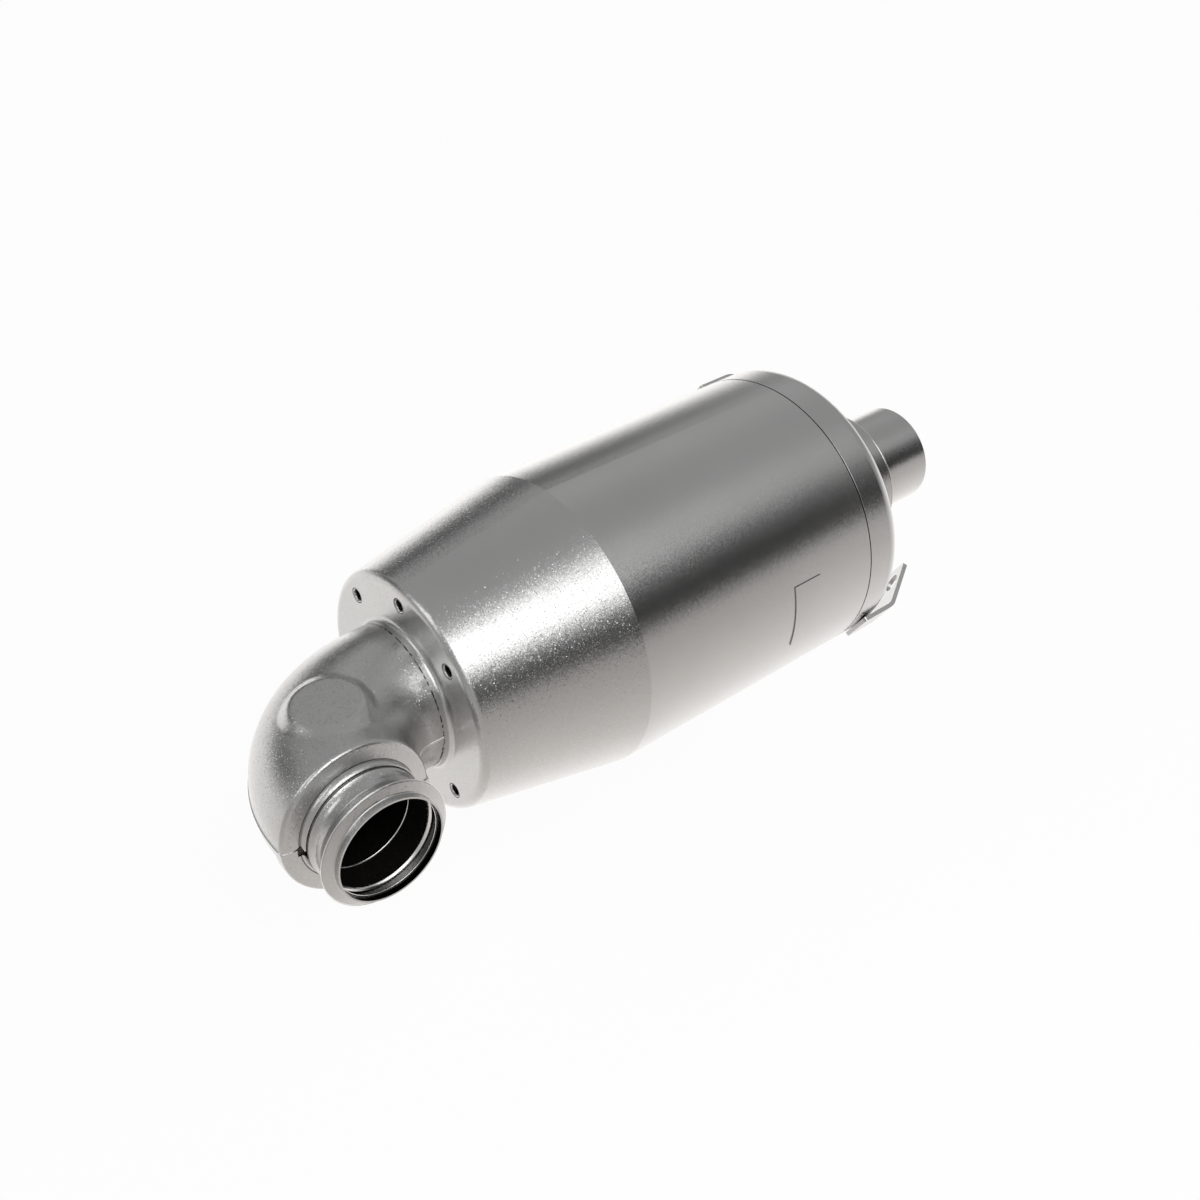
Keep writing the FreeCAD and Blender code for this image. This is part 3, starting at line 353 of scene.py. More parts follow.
def hole_shadow(shader, x, y, z):
    """Painted shade: thin dark line round each hole of the end plate, where its edge turns inward."""
    ring = 1
    for turn in HOLE_TURNS:
        across = y - HOLE_CIRCLE * math.cos(math.radians(turn))
        up = z - HOLE_CIRCLE * math.sin(math.radians(turn))
        ring = ring * abs((across * across + up * up).root() - HOLE_LINE).rise(0.0003, 0.0008)
    return 1 - ring


def neck_shadow(shader, x, y, z):
    """Painted shade: dark on the neck's inner side, where the surface faces the neck's axis, and under
    the collar.
    """
    pilot_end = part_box("inlet_flange")[0][1]
    collar_end = -0.1328
    under = y.rise(collar_end, collar_end + 0.001)
    facing = shader.node("ShaderNodeSeparateXYZ", inputs={
        "Vector": shader.node("ShaderNodeNewGeometry").outputs["Normal"]})
    side = x - neck_middle()
    reach = (side * side + z * z).root()
    inward = (shader.value(facing, "X") * side + shader.value(facing, "Z") * z) / reach
    fading = 1 - (y - pilot_end).rise(0.004, 0.0075) * 0.14
    return ((1 - inward.rise(-0.45, -0.15)) * fading).at_least(under)


def shaded_bore(name, sizes, edge):
    """Inner pipe: dull black inside as painted shade of the bore, bare bright metal at the cut end, edge
    metres from the can's axis.
    """
    material, shader = new_material(name)
    vector, x, y, z = shader.place()
    cut = 1 - abs(y + edge).rise(0.0001, 0.0005)
    speck = shader.noise(vector, 0.7 / sizes.grain_size, detail=2.0).rise(0.55, 0.75)
    bore_shade = shader.blend(speck, grey(0.002, 0.15), grey(0.02, 0.15))
    tone = tuple(sizes.steel_colour) + (1.0,)
    base = shader.blend(cut, bore_shade, tone)
    normal = shader.bump(speck, sizes.grain_depth, strength=0.6)
    shader.finish(Base_Color=base, Metallic=cut, Roughness=0.85 - cut * 0.5, Normal=normal,
                  Specular_IOR_Level=0.12)
    return material


def honeycomb(name, sizes):
    """Coated brick: square channels on its faces, a dark centre in each painted as the shade inside
    the channel, matt ochre walls.
    """
    material, shader = new_material(name)
    vector, x, y, z = shader.place()
    across = abs((y / sizes.cell_pitch).part() - 0.5)
    up = abs((z / sizes.cell_pitch).part() - 0.5)
    wall = across.at_least(up).rise(0.5 - sizes.wall_share, 0.5 - sizes.wall_share * 0.6)
    cloud = shader.noise(vector, 30.0, detail=4.0)
    coat = shader.blend(cloud, (0.46, 0.36, 0.22, 1.0), (0.66, 0.55, 0.37, 1.0))
    # Painted shade: near black in each channel's centre, where the channel's depth would be dark.
    base = shader.blend(wall, (0.03, 0.025, 0.018, 1.0), coat)
    normal = shader.bump(wall, 0.0006)
    shader.finish(Base_Color=base, Roughness=0.95 - cloud * 0.1, Normal=normal)
    return material


def fibre(name, light, dark, strands):
    """Felted fibre: two crossed, stretched noises for strands, cloudy colour between them."""
    material, shader = new_material(name)
    vector, x, y, z = shader.place()
    laid = shader.vector(x * strands, y * strands * 0.12, z * strands)
    first = shader.noise(laid, 1.0, detail=3.0)
    crossed = shader.vector(x * strands * 0.12, y * strands, z * strands * 0.5)
    second = shader.noise(crossed, 1.0, detail=3.0)
    cloud = shader.noise(vector, 22.0, detail=3.0)
    strand = first.at_least(second)
    base = shader.blend((strand * 0.7 + cloud * 0.4).rise(0.3, 0.8), dark, light)
    normal = shader.bump(strand, 0.0008)
    shader.finish(Base_Color=base, Roughness=0.96 - cloud * 0.06, Normal=normal)
    return material


# Sizes and colours that a user would change

class ConverterFinish(bpy.types.PropertyGroup):
    steel_colour: FloatVectorProperty(
        name="Steel colour", description="Colour that the stainless sheet reflects",
        default=(0.60, 0.60, 0.595), size=3, subtype="COLOR", min=0.0, max=1.0)
    roughness: FloatProperty(
        name="Roughness", description="How far the satin finish spreads a reflection",
        default=0.25, min=0.05, max=1.0)
    grain_size: FloatProperty(
        name="Grain size", description="Size of the grain that makes the sparkle",
        default=0.0008, min=0.0002, max=0.01, unit="LENGTH")
    grain_tilt: FloatProperty(
        name="Grain tilt", description="How far every grain leans",
        default=0.06, min=0.0, max=1.0)
    glint_tilt: FloatProperty(
        name="Glint tilt", description="How much further the few grains lean that make the sparkle",
        default=0.6, min=0.0, max=2.0)
    grain_depth: FloatProperty(
        name="Grain depth", description="Height of the soft grain under the sparkle",
        default=0.00001, min=0.0, max=0.001, unit="LENGTH")
    line_depth: FloatProperty(
        name="Line depth", description="Depth of the drawn lines, as a share of the grain depth",
        default=0.25, min=0.0, max=4.0)
    cell_pitch: FloatProperty(
        name="Channel pitch", description="Distance between the channels of a brick",
        default=0.0018, min=0.0008, max=0.01, unit="LENGTH")
    wall_share: FloatProperty(
        name="Channel wall", description="Half of a channel wall, as a share of the pitch",
        default=0.12, min=0.02, max=0.4)


class ElbowSizes(bpy.types.PropertyGroup):
    tube_radius: FloatProperty(
        name="Elbow radius", description="Outer radius of the elbow's skin",
        default=0.0777, min=0.02, max=0.3, unit="LENGTH")
    bend_radius: FloatProperty(
        name="Bend radius", description="Radius of the elbow's centre line",
        default=0.110, min=0.02, max=0.6, unit="LENGTH")
    far_run: FloatProperty(
        name="Run to the can", description="Straight part from the bend into the end plate",
        default=0.040, min=0.0, max=0.5, unit="LENGTH")
    plain_start: FloatProperty(
        name="Plain part", description="From the bend to where the half shells only meet",
        default=0.0147, min=0.0, max=0.5, unit="LENGTH")
    mouth_run: FloatProperty(
        name="Run to the mouth", description="Straight part from the bend to the mouth",
        default=0.006, min=0.0, max=0.2, unit="LENGTH")
    mouth_rise: FloatProperty(
        name="Mouth rise", description="How far the mouth's face stands out towards its collar",
        default=0.003, min=0.0, max=0.05, unit="LENGTH")
    mouth_edge: FloatProperty(
        name="Mouth edge", description="Outer radius of the mouth's edge",
        default=0.003, min=0.0005, max=0.05, unit="LENGTH")
    collar_radius: FloatProperty(
        name="Collar radius", description="Outer radius of the mouth's collar",
        default=0.0602, min=0.01, max=0.3, unit="LENGTH")
    collar_bend: FloatProperty(
        name="Collar bend", description="Bend radius at the collar's foot",
        default=0.002, min=0.0005, max=0.05, unit="LENGTH")
    collar_length: FloatProperty(
        name="Collar length", description="Length of the mouth's collar",
        default=0.0107, min=0.001, max=0.1, unit="LENGTH")
    wall: FloatProperty(
        name="Wall", description="Sheet thickness",
        default=0.002, min=0.0005, max=0.01, unit="LENGTH")
    lap_drop: FloatProperty(
        name="Lap", description="How far the upper half shell reaches down behind the lower one's lip",
        default=0.006, min=0.0, max=0.03, unit="LENGTH")
    pad_radius: FloatProperty(
        name="Pad radius", description="Radius of the flat pad",
        default=0.0352, min=0.005, max=0.1, unit="LENGTH")
    pad_rise: FloatProperty(
        name="Pad height", description="Height of the pad over the elbow's crown",
        default=0.0013, min=0.0, max=0.05, unit="LENGTH")
    pad_turn: FloatProperty(
        name="Pad place", description="Place of the pad along the bend, from the can's side",
        default=math.radians(56.0), subtype="ANGLE")
    pad_shift: FloatProperty(
        name="Pad shift", description="How far the pad lies inside the bend's centre line",
        default=0.0018, min=-0.05, max=0.05, unit="LENGTH")
    pad_foot: FloatProperty(
        name="Pad foot", description="Width of the soft slope between the pad and the elbow",
        default=0.013, min=0.0005, max=0.03, unit="LENGTH")
    lip_gap: FloatProperty(
        name="Lip gap", description="Space between the upper half shell and the lip", default=0.0003,
        min=0.0, max=0.01, unit="LENGTH")
    lip_round: FloatProperty(
        name="Lip round", description="Radius of the lip's rounded top edge", default=0.0015,
        min=0.0002, max=0.01, unit="LENGTH")
    notch_reach: FloatProperty(
        name="Notch reach", description="From the neck's axis to the notch between the half shells",
        default=0.065, min=0.01, max=0.3, unit="LENGTH")
    notch_rise: FloatProperty(
        name="Notch rise", description="How far the notch reaches up into the upper half shell",
        default=0.0042, min=0.0, max=0.02, unit="LENGTH")
    path_steps: IntProperty(
        name="Steps along", description="Grid steps along the elbow", default=230, min=20, max=600)
    round_steps: IntProperty(
        name="Steps round", description="Grid steps round the elbow", default=150, min=20, max=600)


class StudioSizes(bpy.types.PropertyGroup):
    floor_height: FloatProperty(
        name="Floor height", description="Height of the studio floor",
        default=-0.42, unit="LENGTH")
    floor_reach: FloatProperty(
        name="Floor reach", description="Half the width of the studio floor",
        default=30.0, min=1.0, unit="LENGTH")
    key_power: FloatProperty(
        name="Key light", description="Power of the soft key light",
        default=24.0, min=0.0, unit="POWER")
    lens: FloatProperty(
        name="Lens", description="Focal length on a 36 mm sensor, in millimetres",
        default=46.18, min=10.0, max=300.0)
    camera_place: FloatVectorProperty(
        name="Camera place", description="Where the camera stands",
        default=(-1.3515, -1.0416, 0.9946), size=3, subtype="TRANSLATION", unit="LENGTH")


# Upper half shell of the elbow

def pad_share(away, inner, width):
    """1 on the pad, 0 beyond its foot: a narrow round at the pad's edge and a wide one at its foot.

    With t from 0 at the edge to 1 at the foot, the share is (1 - s) squared times (1 + 2 s), where s
    is t to the power 0.75.
    """
    s = np.clip((away - inner) / width, 0.0, 1.0) ** 0.75
    return (1 - s) ** 2 * (1 + 2 * s)


def quarter(centre, radius, start, end, count):
    """Points of an arc about centre, from angle start to angle end, ends included."""
    turn = np.linspace(start, end, count)
    return np.stack([centre[0] + radius * np.cos(turn), centre[1] + radius * np.sin(turn)], 1)


def shell_tube(sizes, lap, share):
    """Rows of the upper half shell along the tube, from the can to the mouth, with the pad on them."""
    radius, bend = sizes.tube_radius, sizes.bend_radius
    run = np.linspace(sizes.far_run, 0.0, sizes.path_steps // 6, endpoint=False)
    turn = np.linspace(0.0, math.pi / 2, sizes.path_steps)
    centre_x = np.concatenate([bend + run, bend - bend * np.sin(turn)])
    centre_y = np.concatenate([run * 0.0, bend * np.cos(turn) - bend])
    out_x = np.concatenate([run * 0.0, -np.sin(turn)])
    out_y = np.concatenate([run * 0.0 + 1.0, np.cos(turn)])
    drop = np.where(centre_x > bend + sizes.plain_start, 0.0, lap)
    v = -drop[:, None] + share[None, :] * (math.pi + 2 * drop[:, None])
    reach = radius * np.cos(v)
    tube = np.stack([centre_x[:, None] + reach * out_x[:, None],
                     centre_y[:, None] + reach * out_y[:, None],
                     radius * np.sin(v)], 2)
    pad_circle = bend - sizes.pad_shift
    pad_x = bend - pad_circle * math.sin(sizes.pad_turn)
    pad_y = pad_circle * math.cos(sizes.pad_turn) - bend
    away = np.hypot(tube[..., 0] - pad_x, tube[..., 1] - pad_y)
    share_of_pad = pad_share(away, sizes.pad_radius - sizes.pad_foot * 0.12, sizes.pad_foot)
    tube[..., 2] += (radius + sizes.pad_rise - tube[..., 2]) * share_of_pad
    return tube


def shell_mouth(sizes, lap, share):
    """Rings of the upper half shell on the mouth, from its edge over its face to the collar's end."""
    radius = sizes.tube_radius
    mouth = sizes.bend_radius + sizes.mouth_run
    foot = mouth + sizes.mouth_rise
    lean = math.atan2(sizes.mouth_rise, radius - sizes.collar_radius)
    edge_arc = quarter((radius - sizes.mouth_edge, mouth - sizes.mouth_edge), sizes.mouth_edge,
                       0.0, math.pi / 2 - lean, 9)
    foot_arc = quarter((sizes.collar_radius + sizes.collar_bend, foot + sizes.collar_bend),
                       sizes.collar_bend, -math.pi / 2 - lean, -math.pi, 9)
    end = np.array([[sizes.collar_radius, foot + sizes.collar_length]])
    profile = np.concatenate([edge_arc, foot_arc, end])
    notch = -math.asin(sizes.notch_rise / sizes.notch_reach)
    turned = np.where(profile[:, 0] > sizes.notch_reach, lap, notch)
    w = -turned[:, None] + share[None, :] * (math.pi + 2 * turned[:, None])
    # The tube's rows start on the outer side of the bend, which is -X at the mouth.
    return np.stack([-profile[:, :1] * np.cos(w), -profile[:, 1:] + w * 0.0,
                     profile[:, :1] * np.sin(w)], 2)


def upper_shell_grid(sizes, neck_x):
    """Grid of the upper half shell.

    Rows follow the path from the can to the mouth. On the tube a point is the path's centre plus
    the radius times (cosine of v times the outward direction, sine of v times up). On the mouth
    the row is a ring about the neck's axis whose radius and station follow the turned-in profile.
    Round the pad the height passes from the tube's to the pad's by the pad's share.
    """
    lap = math.asin(sizes.lap_drop / sizes.tube_radius)
    share = np.linspace(0.0, 1.0, sizes.round_steps)
    grid = np.concatenate([shell_tube(sizes, lap, share), shell_mouth(sizes, lap, share)])
    grid[..., 0] += neck_x
    return grid


def neck_middle():
    """Place of the neck's axis along the can."""
    low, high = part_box("inlet_flange")
    return (low[0] + high[0]) / 2


def rounded_edge(inner, outer, depth):
    """Closed oval between two points (radius, station), depth thick."""
    inner, outer = np.array(inner), np.array(outer)
    along = outer - inner
    length = np.hypot(*along)
    across = np.array([-along[1], along[0]]) / length
    turn = np.linspace(0.0, FULL_TURN, 17)[:, None]
    return (inner + outer) / 2 + along / 2 * np.cos(turn) + across * depth / 2 * np.sin(turn)


def shoulder_profile():
    """Soft shoulder of the bare neck: from the collar's end its radius falls along a parabola.

    The radius is the neck's plus the rise times (1 - t) squared, with t from 0 at the collar to 1.
    """
    neck, rise, start, run = 0.05712, 0.0034, 0.1319, 0.0085
    t = np.linspace(0.0, 1.0, 14)[:, None]
    outside = np.concatenate([neck + rise * (1 - t) ** 2, start + run * t], 1)
    inside = outside[::-1] - np.array([0.0006, 0.0])
    return np.concatenate([outside, inside, outside[:1]])


def turned_ring(name, profile):
    """Ring of a closed profile (radius, station) turned about the neck's axis.

    A point is (axis + radius times cosine, minus the station, radius times sine) of the turn.
    """
    turn = np.linspace(0.0, FULL_TURN, 201)
    mesh = grid_mesh(name, np.stack([neck_middle() + profile[:, :1] * np.cos(turn),
                                     turn * 0.0 - profile[:, 1:],
                                     profile[:, :1] * np.sin(turn)], 2))
    tidy_mesh(mesh)
    return mesh


def lip_edge(name, sizes, side):
    """Rounded top edge of the lower half shell's lip, on the bend's outer side (1) or inner side (-1).

    Its middle line runs from the collar round the bend, turns the mouth's corner and ends at the
    notch. Round each of its points lies a circle in the plane that the line crosses there.
    """
    middle = sizes.tube_radius + sizes.lip_gap + sizes.lip_round
    bend = sizes.bend_radius
    reach = bend + side * middle
    turn = np.linspace(0.0, math.pi / 2, sizes.path_steps // 2)
    run = np.linspace(sizes.plain_start, 0.0, 8, endpoint=False)
    start = np.stack([bend + run, run * 0.0 + side * middle], 1)
    round_bend = np.stack([bend - reach * np.sin(turn), reach * np.cos(turn) - bend], 1)
    mouth = bend + sizes.mouth_run + sizes.lip_gap
    corner_radius = 0.004
    corner = quarter((middle - corner_radius, mouth - corner_radius), corner_radius,
                     0.0, math.pi / 2, 8)
    end = np.array([[sizes.notch_reach, mouth + sizes.mouth_rise * 0.6]])
    face = np.concatenate([corner, end])
    face = np.stack([-side * face[:, 0], -face[:, 1]], 1)
    line = np.concatenate([start, round_bend, face])
    along = np.gradient(line, axis=0)
    along /= np.hypot(along[:, 0], along[:, 1])[:, None]
    across = np.stack([along[:, 1], -along[:, 0]], 1)
    circle = np.linspace(0.0, FULL_TURN, 13)
    out = sizes.lip_round * np.cos(circle)
    grid = np.stack([neck_middle() + line[:, :1] + across[:, :1] * out,
                     line[:, 1:] + across[:, 1:] * out,
                     line[:, :1] * 0.0 + sizes.lip_round * np.sin(circle)], 2)
    mesh = grid_mesh(name, grid)
    tidy_mesh(mesh)
    return mesh


def rounded_rim(name, station, reach, radius):
    """Rounded edge of a turned sheet: a circle of the given radius carried round the can's axis.

    A point is (station, reach times cosine, reach times sine) of the turn, where station and reach
    follow the circle.
    """
    turn = np.linspace(0.0, FULL_TURN, 361)
    circle = np.linspace(0.0, FULL_TURN, 11)[:, None]
    along = station + radius * np.sin(circle)
    reach = reach + radius * np.cos(circle)
    grid = np.stack([along + turn * 0.0, reach * np.cos(turn), reach * np.sin(turn)], 2)
    mesh = grid_mesh(name, grid)
    tidy_mesh(mesh)
    return mesh


def tidy_mesh(mesh):
    """Joins doubled points, closes open ends and turns the faces outwards."""
    build = bmesh.new()
    build.from_mesh(mesh)
    bmesh.ops.remove_doubles(build, verts=build.verts, dist=1e-6)
    bmesh.ops.holes_fill(build, edges=[edge for edge in build.edges if edge.is_boundary])
    bmesh.ops.recalc_face_normals(build, faces=build.faces)
    build.to_mesh(mesh)
    build.free()


def grid_mesh(name, grid):
    """Mesh of a grid of points, one quad for each cell, smooth shaded."""
    rows, columns = grid.shape[:2]
    index = np.arange(rows * columns).reshape(rows, columns)
    quads = np.stack([index[:-1, :-1], index[:-1, 1:], index[1:, 1:], index[1:, :-1]], 2).reshape(-1, 4)
    mesh = bpy.data.meshes.new(name)
    mesh.from_pydata(grid.reshape(-1, 3), [], quads)
    mesh.polygons.foreach_set("use_smooth", np.ones(len(quads), dtype=bool))
    mesh.update()
    return mesh


def add_piece(name, mesh, material, slot, *replaced):
    """Links a new piece, rides it on the body and lets it stand for its nodes."""
    piece = bpy.data.objects.new(name, mesh)
    bpy.context.scene.collection.objects.link(piece)
    mesh.materials.append(material)
    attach(piece, "root")
    if replaced:
        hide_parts(*replaced)
    return piece


# Operators

class ConverterOperator(bpy.types.Operator):
    """What the steps share: undo, and the sizes of the finish"""
    bl_options = {"REGISTER", "UNDO"}

    @property
    def finish(self):
        return bpy.context.scene.converter_finish


class FinishCan(ConverterOperator):
    """Can, cap, cone, collar and outlet pipe in satin sheet, and the rounded rims of cap and collar"""
    bl_idname = "converter.finish_can"
    bl_label = "Can, cone, cap and outlet"

    def execute(self, context):
        wear(steel("can satin steel", self.finish, lines=round_can, shadow=seam_shadow), "can_shell")
        wear(steel("cap satin steel", self.finish, rough=-0.01, lines=round_can),
             "outlet_cap", "outlet_collar")
        wear(steel("pressed cone steel", self.finish, rough=0.01, glint=0.65, shadow=hole_shadow),
             "inlet_cone")
        wear(steel("outlet pipe steel", self.finish, rough=-0.04), "outlet_pipe")
        edge = steel("rolled rim steel", self.finish, rough=-0.12)
        seam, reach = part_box("outlet_cap")[0][0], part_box("outlet_cap")[1][2]
        end, collar_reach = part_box("outlet_collar")[1][0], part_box("outlet_collar")[1][2]
        # Each rim's rounding circle: station and distance of its middle, and its radius.
        for name, station, middle, radius in (
                ("cap_seam_edge", seam + 0.0005, reach - 0.0004, 0.0005),
                ("outlet_collar_edge", end - 0.0021, collar_reach - 0.0015, 0.0018)):
            add_piece(name, rounded_rim(name, station, middle, radius), edge, "can_skin")
        return {"FINISHED"}


class BuildElbow(ConverterOperator):
    """Upper half shell of the elbow with its soft round pad, and the finish of the lower one"""
    bl_idname = "converter.build_elbow"
    bl_label = "Elbow"

    def execute(self, context):
        sizes = context.scene.converter_elbow
        finish = steel("pressed elbow steel", self.finish, rough=0.035, glint=1.15,
                       shadow=collar_shadow)
        mesh = grid_mesh("elbow_upper_skin", upper_shell_grid(sizes, neck_middle()))
        piece = add_piece("elbow_upper_skin", mesh, finish, "cone_skin", "elbow_shell_upper")
        wall = piece.modifiers.new("sheet", "SOLIDIFY")
        wall.thickness = sizes.wall
        wall.offset = -1.0
        wear(finish, "elbow_shell_lower", "mouth_ring")
        # The lip edges wear a copy of the steel 1.6 times lighter: a painted highlight on real rounded
        # edges.
        edge = steel("lip edge steel", self.finish, shade=1.6, rough=-0.05)
        for name, side in (("lip_edge_outer", 1), ("lip_edge_inner", -1)):
            add_piece(name, lip_edge(name, sizes, side), edge, "cone_skin")
        return {"FINISHED"}


class FinishNeck(ConverterOperator):
    """Clamp flange in formed steel, and the liner and gas pipe, black inside as painted shade
    with bright cut ends
    """
    bl_idname = "converter.finish_neck"
    bl_label = "Neck and gas pipe"

    def execute(self, context):
        # The neck's steel is a slightly darker copy (shade 0.96): painted shade.
        wear(steel("formed neck steel", self.finish, shade=0.96, rough=-0.04, glint=0.7,
                   lines=round_neck, shadow=neck_shadow), "inlet_flange")
        # The rounded edges wear a copy of the steel 1.6 times lighter: a painted highlight on real rounded
        # edges.
        bright = steel("rolled edge steel", self.finish, shade=1.6, rough=-0.05)
        for node in ("inlet_sleeve", "elbow_pipe"):
            cut_end = -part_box(node)[0][1]
            wear(shaded_bore(node + " black", self.finish, cut_end), node)
        for name, (inner, outer, depth) in NECK_EDGES.items():
            ring = turned_ring(name, rounded_edge(inner, outer, depth))
            add_piece(name, ring, bright, "inner_steel")
        shoulder = steel("neck shoulder steel", self.finish, glint=1.2, lines=round_neck)
        ring = turned_ring("neck_shoulder", shoulder_profile())
        add_piece("neck_shoulder", ring, shoulder, "neck_skin")
        return {"FINISHED"}


class FinishInside(ConverterOperator):
    """Bricks, mats, blankets and the inner sheet parts"""
    bl_idname = "converter.finish_inside"
    bl_label = "Inside"

    def execute(self, context):
        wear(honeycomb("coated honeycomb", self.finish), *BRICKS)
        wear(fibre("pressed fibre mat", (0.78, 0.75, 0.68, 1), (0.52, 0.49, 0.43, 1), 900.0), *MATS)
        wear(fibre("insulation blanket", (0.62, 0.58, 0.48, 1), (0.34, 0.31, 0.25, 1), 420.0),
             *BLANKETS)
        wear(steel("inner sheet steel", self.finish, shade=0.7, rough=0.12, lines=round_can),
             *INNER_SHEETS)
        return {"FINISHED"}


class FinishBrackets(ConverterOperator):
    """Both strap brackets in thick rolled strip, and the bare plate on the can"""
    bl_idname = "converter.finish_brackets"
    bl_label = "Brackets and bare plate"

    def execute(self, context):
        wear(steel("bracket strip steel", self.finish, lines=along_strap, rough=0.04),
             "lower_bracket", "upper_bracket")
        wear(steel("bare plate steel", self.finish, lines=round_can), "name_plate")
        return {"FINISHED"}


class BuildStage(bpy.types.Operator):
    """White studio: floor with the object's shadow, key light, sky of soft panels, and the camera"""
    bl_idname = "converter.build_stage"
    bl_label = "Studio"

    def execute(self, context):
        sizes = context.scene.converter_studio
        build_floor(sizes)
        build_sky()
        build_key(sizes)
        build_camera(sizes)
        context.scene.view_settings.view_transform = "Standard"
        return {"FINISHED"}


# Studio

def build_floor(sizes):
    """Level square floor. The camera sees it white, less a faint shadow. Glossy rays pass it by and
    meet the pale lower half of the sky."""
    reach = sizes.floor_reach
    corner = np.array([[-reach, -reach], [reach, -reach], [reach, reach], [-reach, reach]])
    points = np.concatenate([corner, np.full((4, 1), sizes.floor_height)], 1)
    mesh = bpy.data.meshes.new("floor")
    mesh.from_pydata(points, [], [(0, 1, 2, 3)])
    floor = bpy.data.objects.new("floor", mesh)
    bpy.context.scene.collection.objects.link(floor)
    material, shader = new_material("white floor")
    path = shader.node("ShaderNodeLightPath")
    seen = shader.value(path, "Is Camera Ray").at_least(shader.value(path, "Is Glossy Ray"))
    seen = seen.at_least(shader.value(path, "Is Transmission Ray"))
    matt = shader.node("ShaderNodeBsdfDiffuse", inputs={"Color": grey(0.9)})
    glow = shader.node("ShaderNodeEmission", inputs={"Color": grey(1.0), "Strength": 1.0})
    mix = shader.node("ShaderNodeMixShader", inputs={0: seen * 0.94})
    shader.tree.links.new(matt.outputs[0], mix.inputs[1])
    shader.tree.links.new(glow.outputs[0], mix.inputs[2])
    shader.node("ShaderNodeOutputMaterial", inputs={"Surface": mix.outputs[0]})
    mesh.materials.append(material)
    floor.visible_glossy = False


def soft_panel(azimuth, height, middle, half, edge):
    """Soft rectangle on the sky, 1 inside: middle, half size and edge are (azimuth, height) in degrees."""
    level = 1
    for angle, centre, side, fade in zip((azimuth, height), middle, half, edge):
        start, end = math.radians(side - fade), math.radians(side + fade)
        level = level * (1 - abs(angle - math.radians(centre)).rise(start, end))
    return level


def build_sky():
    """Studio round the object as reflections see it; the camera sees plain white.

    The lower half is a pale floor that brightens towards the back and downwards and is dimmer low on
    the outlet's side, the upper half a grey ceiling. The panels add the soft box, the dark walls and
    the fainter lights and shades.
    """
    world = bpy.data.worlds.new("studio")
    bpy.context.scene.world = world
    shader = Shader(world)
    towards = shader.node("ShaderNodeTexCoord").outputs["Generated"]
    parts = shader.node("ShaderNodeSeparateXYZ", inputs={"Vector": towards})
    x, y, z = (shader.value(parts, axis) for axis in "XYZ")
    azimuth = y.angle_to(x)
    height = z.arcsine()
    ceiling = 0.39
    back = (x * 0.55 + y * 0.83).rise(-0.6, 0.7)
    low = 0.475 + 0.6 * back + 0.15 * z.rise(-0.05, -0.75) + 0.13 * z * z
    low = low - 0.3 * (x - 0.3).at_least(0.0) * z.rise(-0.35, -0.85)
    level = z.rise(-0.12, 0.26)
    sky = low + (ceiling - low) * level
    for strength, middle, half, edge in DARK_PANELS:
        sky = sky * (1 - strength * soft_panel(azimuth, height, middle, half, edge))
    for strength, middle, half, edge in LIGHT_PANELS:
        sky = sky + strength * soft_panel(azimuth, height, middle, half, edge)
    warmth = (1 - level) * (1 - 0.6 * back)
    tint = shader.blend(warmth, grey(1.0), (1.05, 1.0, 0.96, 1.0))
    path = shader.node("ShaderNodeLightPath")
    studio = shader.node("ShaderNodeBackground", inputs={"Color": tint, "Strength": sky})
    white = shader.node("ShaderNodeBackground", inputs={"Color": grey(1.0), "Strength": 1.0})
    mix = shader.node("ShaderNodeMixShader", inputs={0: shader.value(path, "Is Camera Ray")})
    shader.tree.links.new(studio.outputs[0], mix.inputs[1])
    shader.tree.links.new(white.outputs[0], mix.inputs[2])
    shader.node("ShaderNodeOutputWorld", inputs={"Surface": mix.outputs[0]})


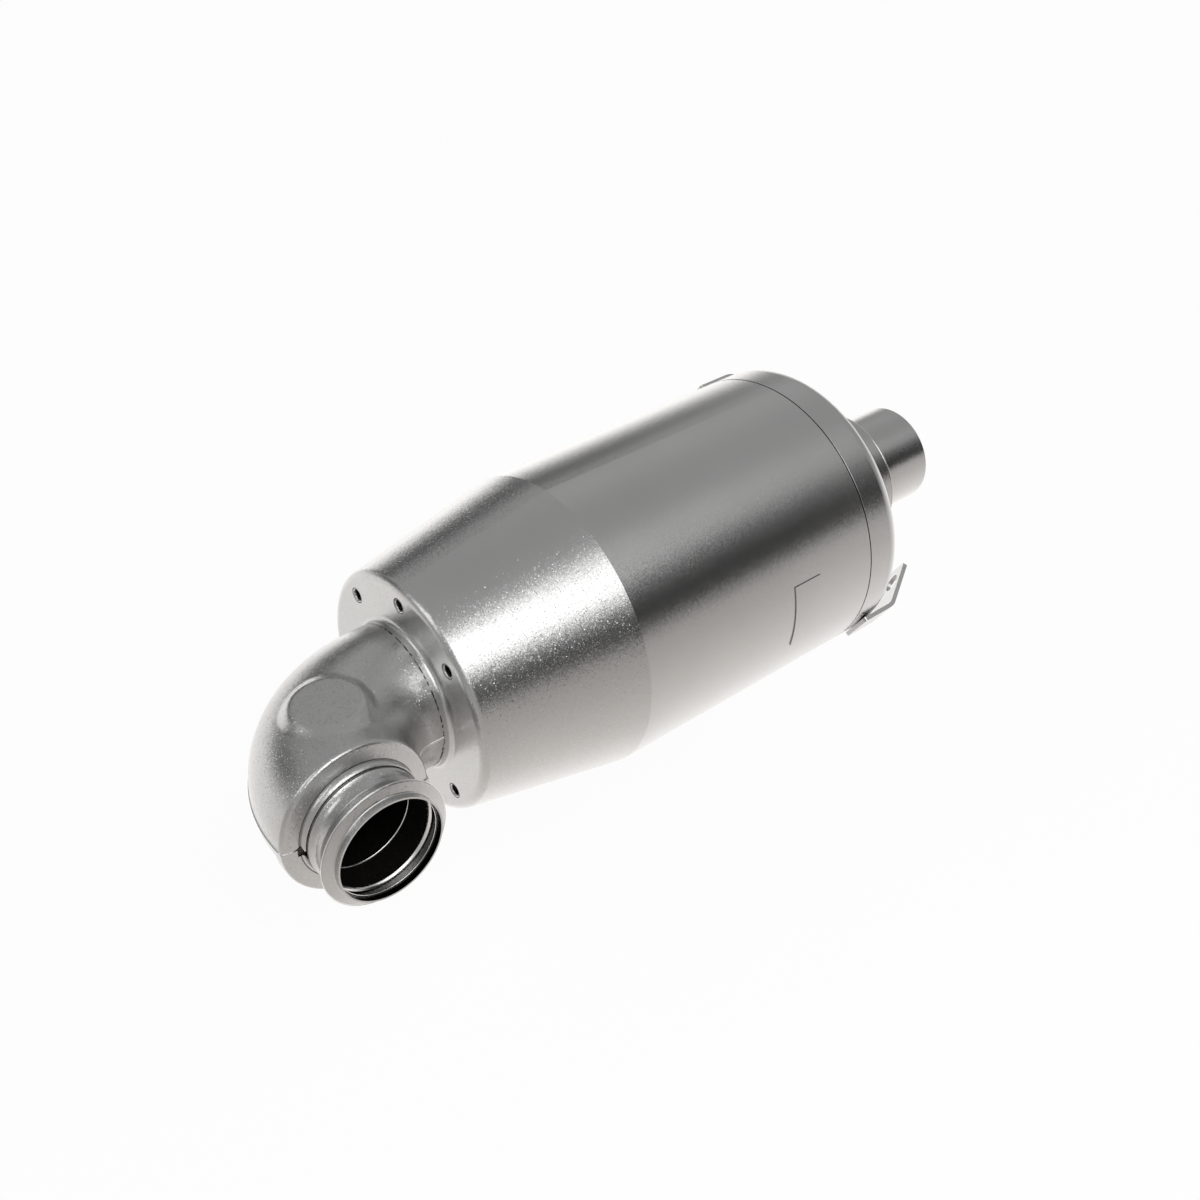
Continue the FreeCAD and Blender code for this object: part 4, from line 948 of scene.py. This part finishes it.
def build_key(sizes):
    """Soft key light where the soft box stands; its face is left to the sky, so it adds no second one."""
    data = bpy.data.lights.new("key", "AREA")
    data.shape = "RECTANGLE"
    data.size, data.size_y = 2.0, 1.4
    data.energy = sizes.key_power
    key = bpy.data.objects.new("key", data)
    middle = (Vector(CAD_BOX[0]) + Vector(CAD_BOX[1])) / 2
    turn, lift, distance = math.radians(-97.0), math.radians(51.0), 2.4
    away = Vector((math.cos(lift) * math.cos(turn), math.cos(lift) * math.sin(turn), math.sin(lift)))
    key.location = middle + away * distance
    key.rotation_euler = away.to_track_quat("Z", "Y").to_euler()
    key.visible_glossy = False
    bpy.context.scene.collection.objects.link(key)


def build_camera(sizes):
    """Camera at the photograph's place, given by its right, up and forward directions."""
    data = bpy.data.cameras.new("camera")
    data.lens = sizes.lens
    data.sensor_width = 36.0
    data.clip_end = 100.0
    camera = bpy.data.objects.new("camera", data)
    right = Vector((0.76493, -0.64411, 0.0))
    up = Vector((0.38111, 0.45259, 0.80617))
    back = right.cross(up)
    turn = Matrix((right, up, back)).transposed()
    camera.matrix_world = Matrix.Translation(sizes.camera_place) @ turn.to_4x4()
    bpy.context.scene.collection.objects.link(camera)
    bpy.context.scene.camera = camera


class ConverterPanel(bpy.types.Panel):
    """Pieces of the converter, in the order in which they are made"""
    bl_idname = "VIEW3D_PT_converter"
    bl_label = "Catalytic converter"
    bl_space_type = "VIEW_3D"
    bl_region_type = "UI"
    bl_category = "Converter"

    def draw(self, context):
        for name in ("converter_finish", "converter_elbow", "converter_studio"):
            group = getattr(context.scene, name)
            box = self.layout.box()
            for key in group.__annotations__:
                box.prop(group, key)
        for operator in STEPS:
            self.layout.operator(operator.bl_idname)


STEPS = (FinishCan, BuildElbow, FinishNeck, FinishInside, FinishBrackets, BuildStage)
GROUPS = {"converter_finish": ConverterFinish, "converter_elbow": ElbowSizes,
          "converter_studio": StudioSizes}


def register():
    for item in (*GROUPS.values(), *STEPS, ConverterPanel):
        bpy.utils.register_class(item)
    for name, group in GROUPS.items():
        setattr(bpy.types.Scene, name, PointerProperty(type=group))


def unregister():
    for name in GROUPS:
        delattr(bpy.types.Scene, name)
    for item in (ConverterPanel, *reversed(STEPS), *GROUPS.values()):
        bpy.utils.unregister_class(item)


def main():
    register()
    for step in STEPS:
        group, name = step.bl_idname.split(".")
        getattr(getattr(bpy.ops, group), name)()


if __name__ == "__main__":
    main()
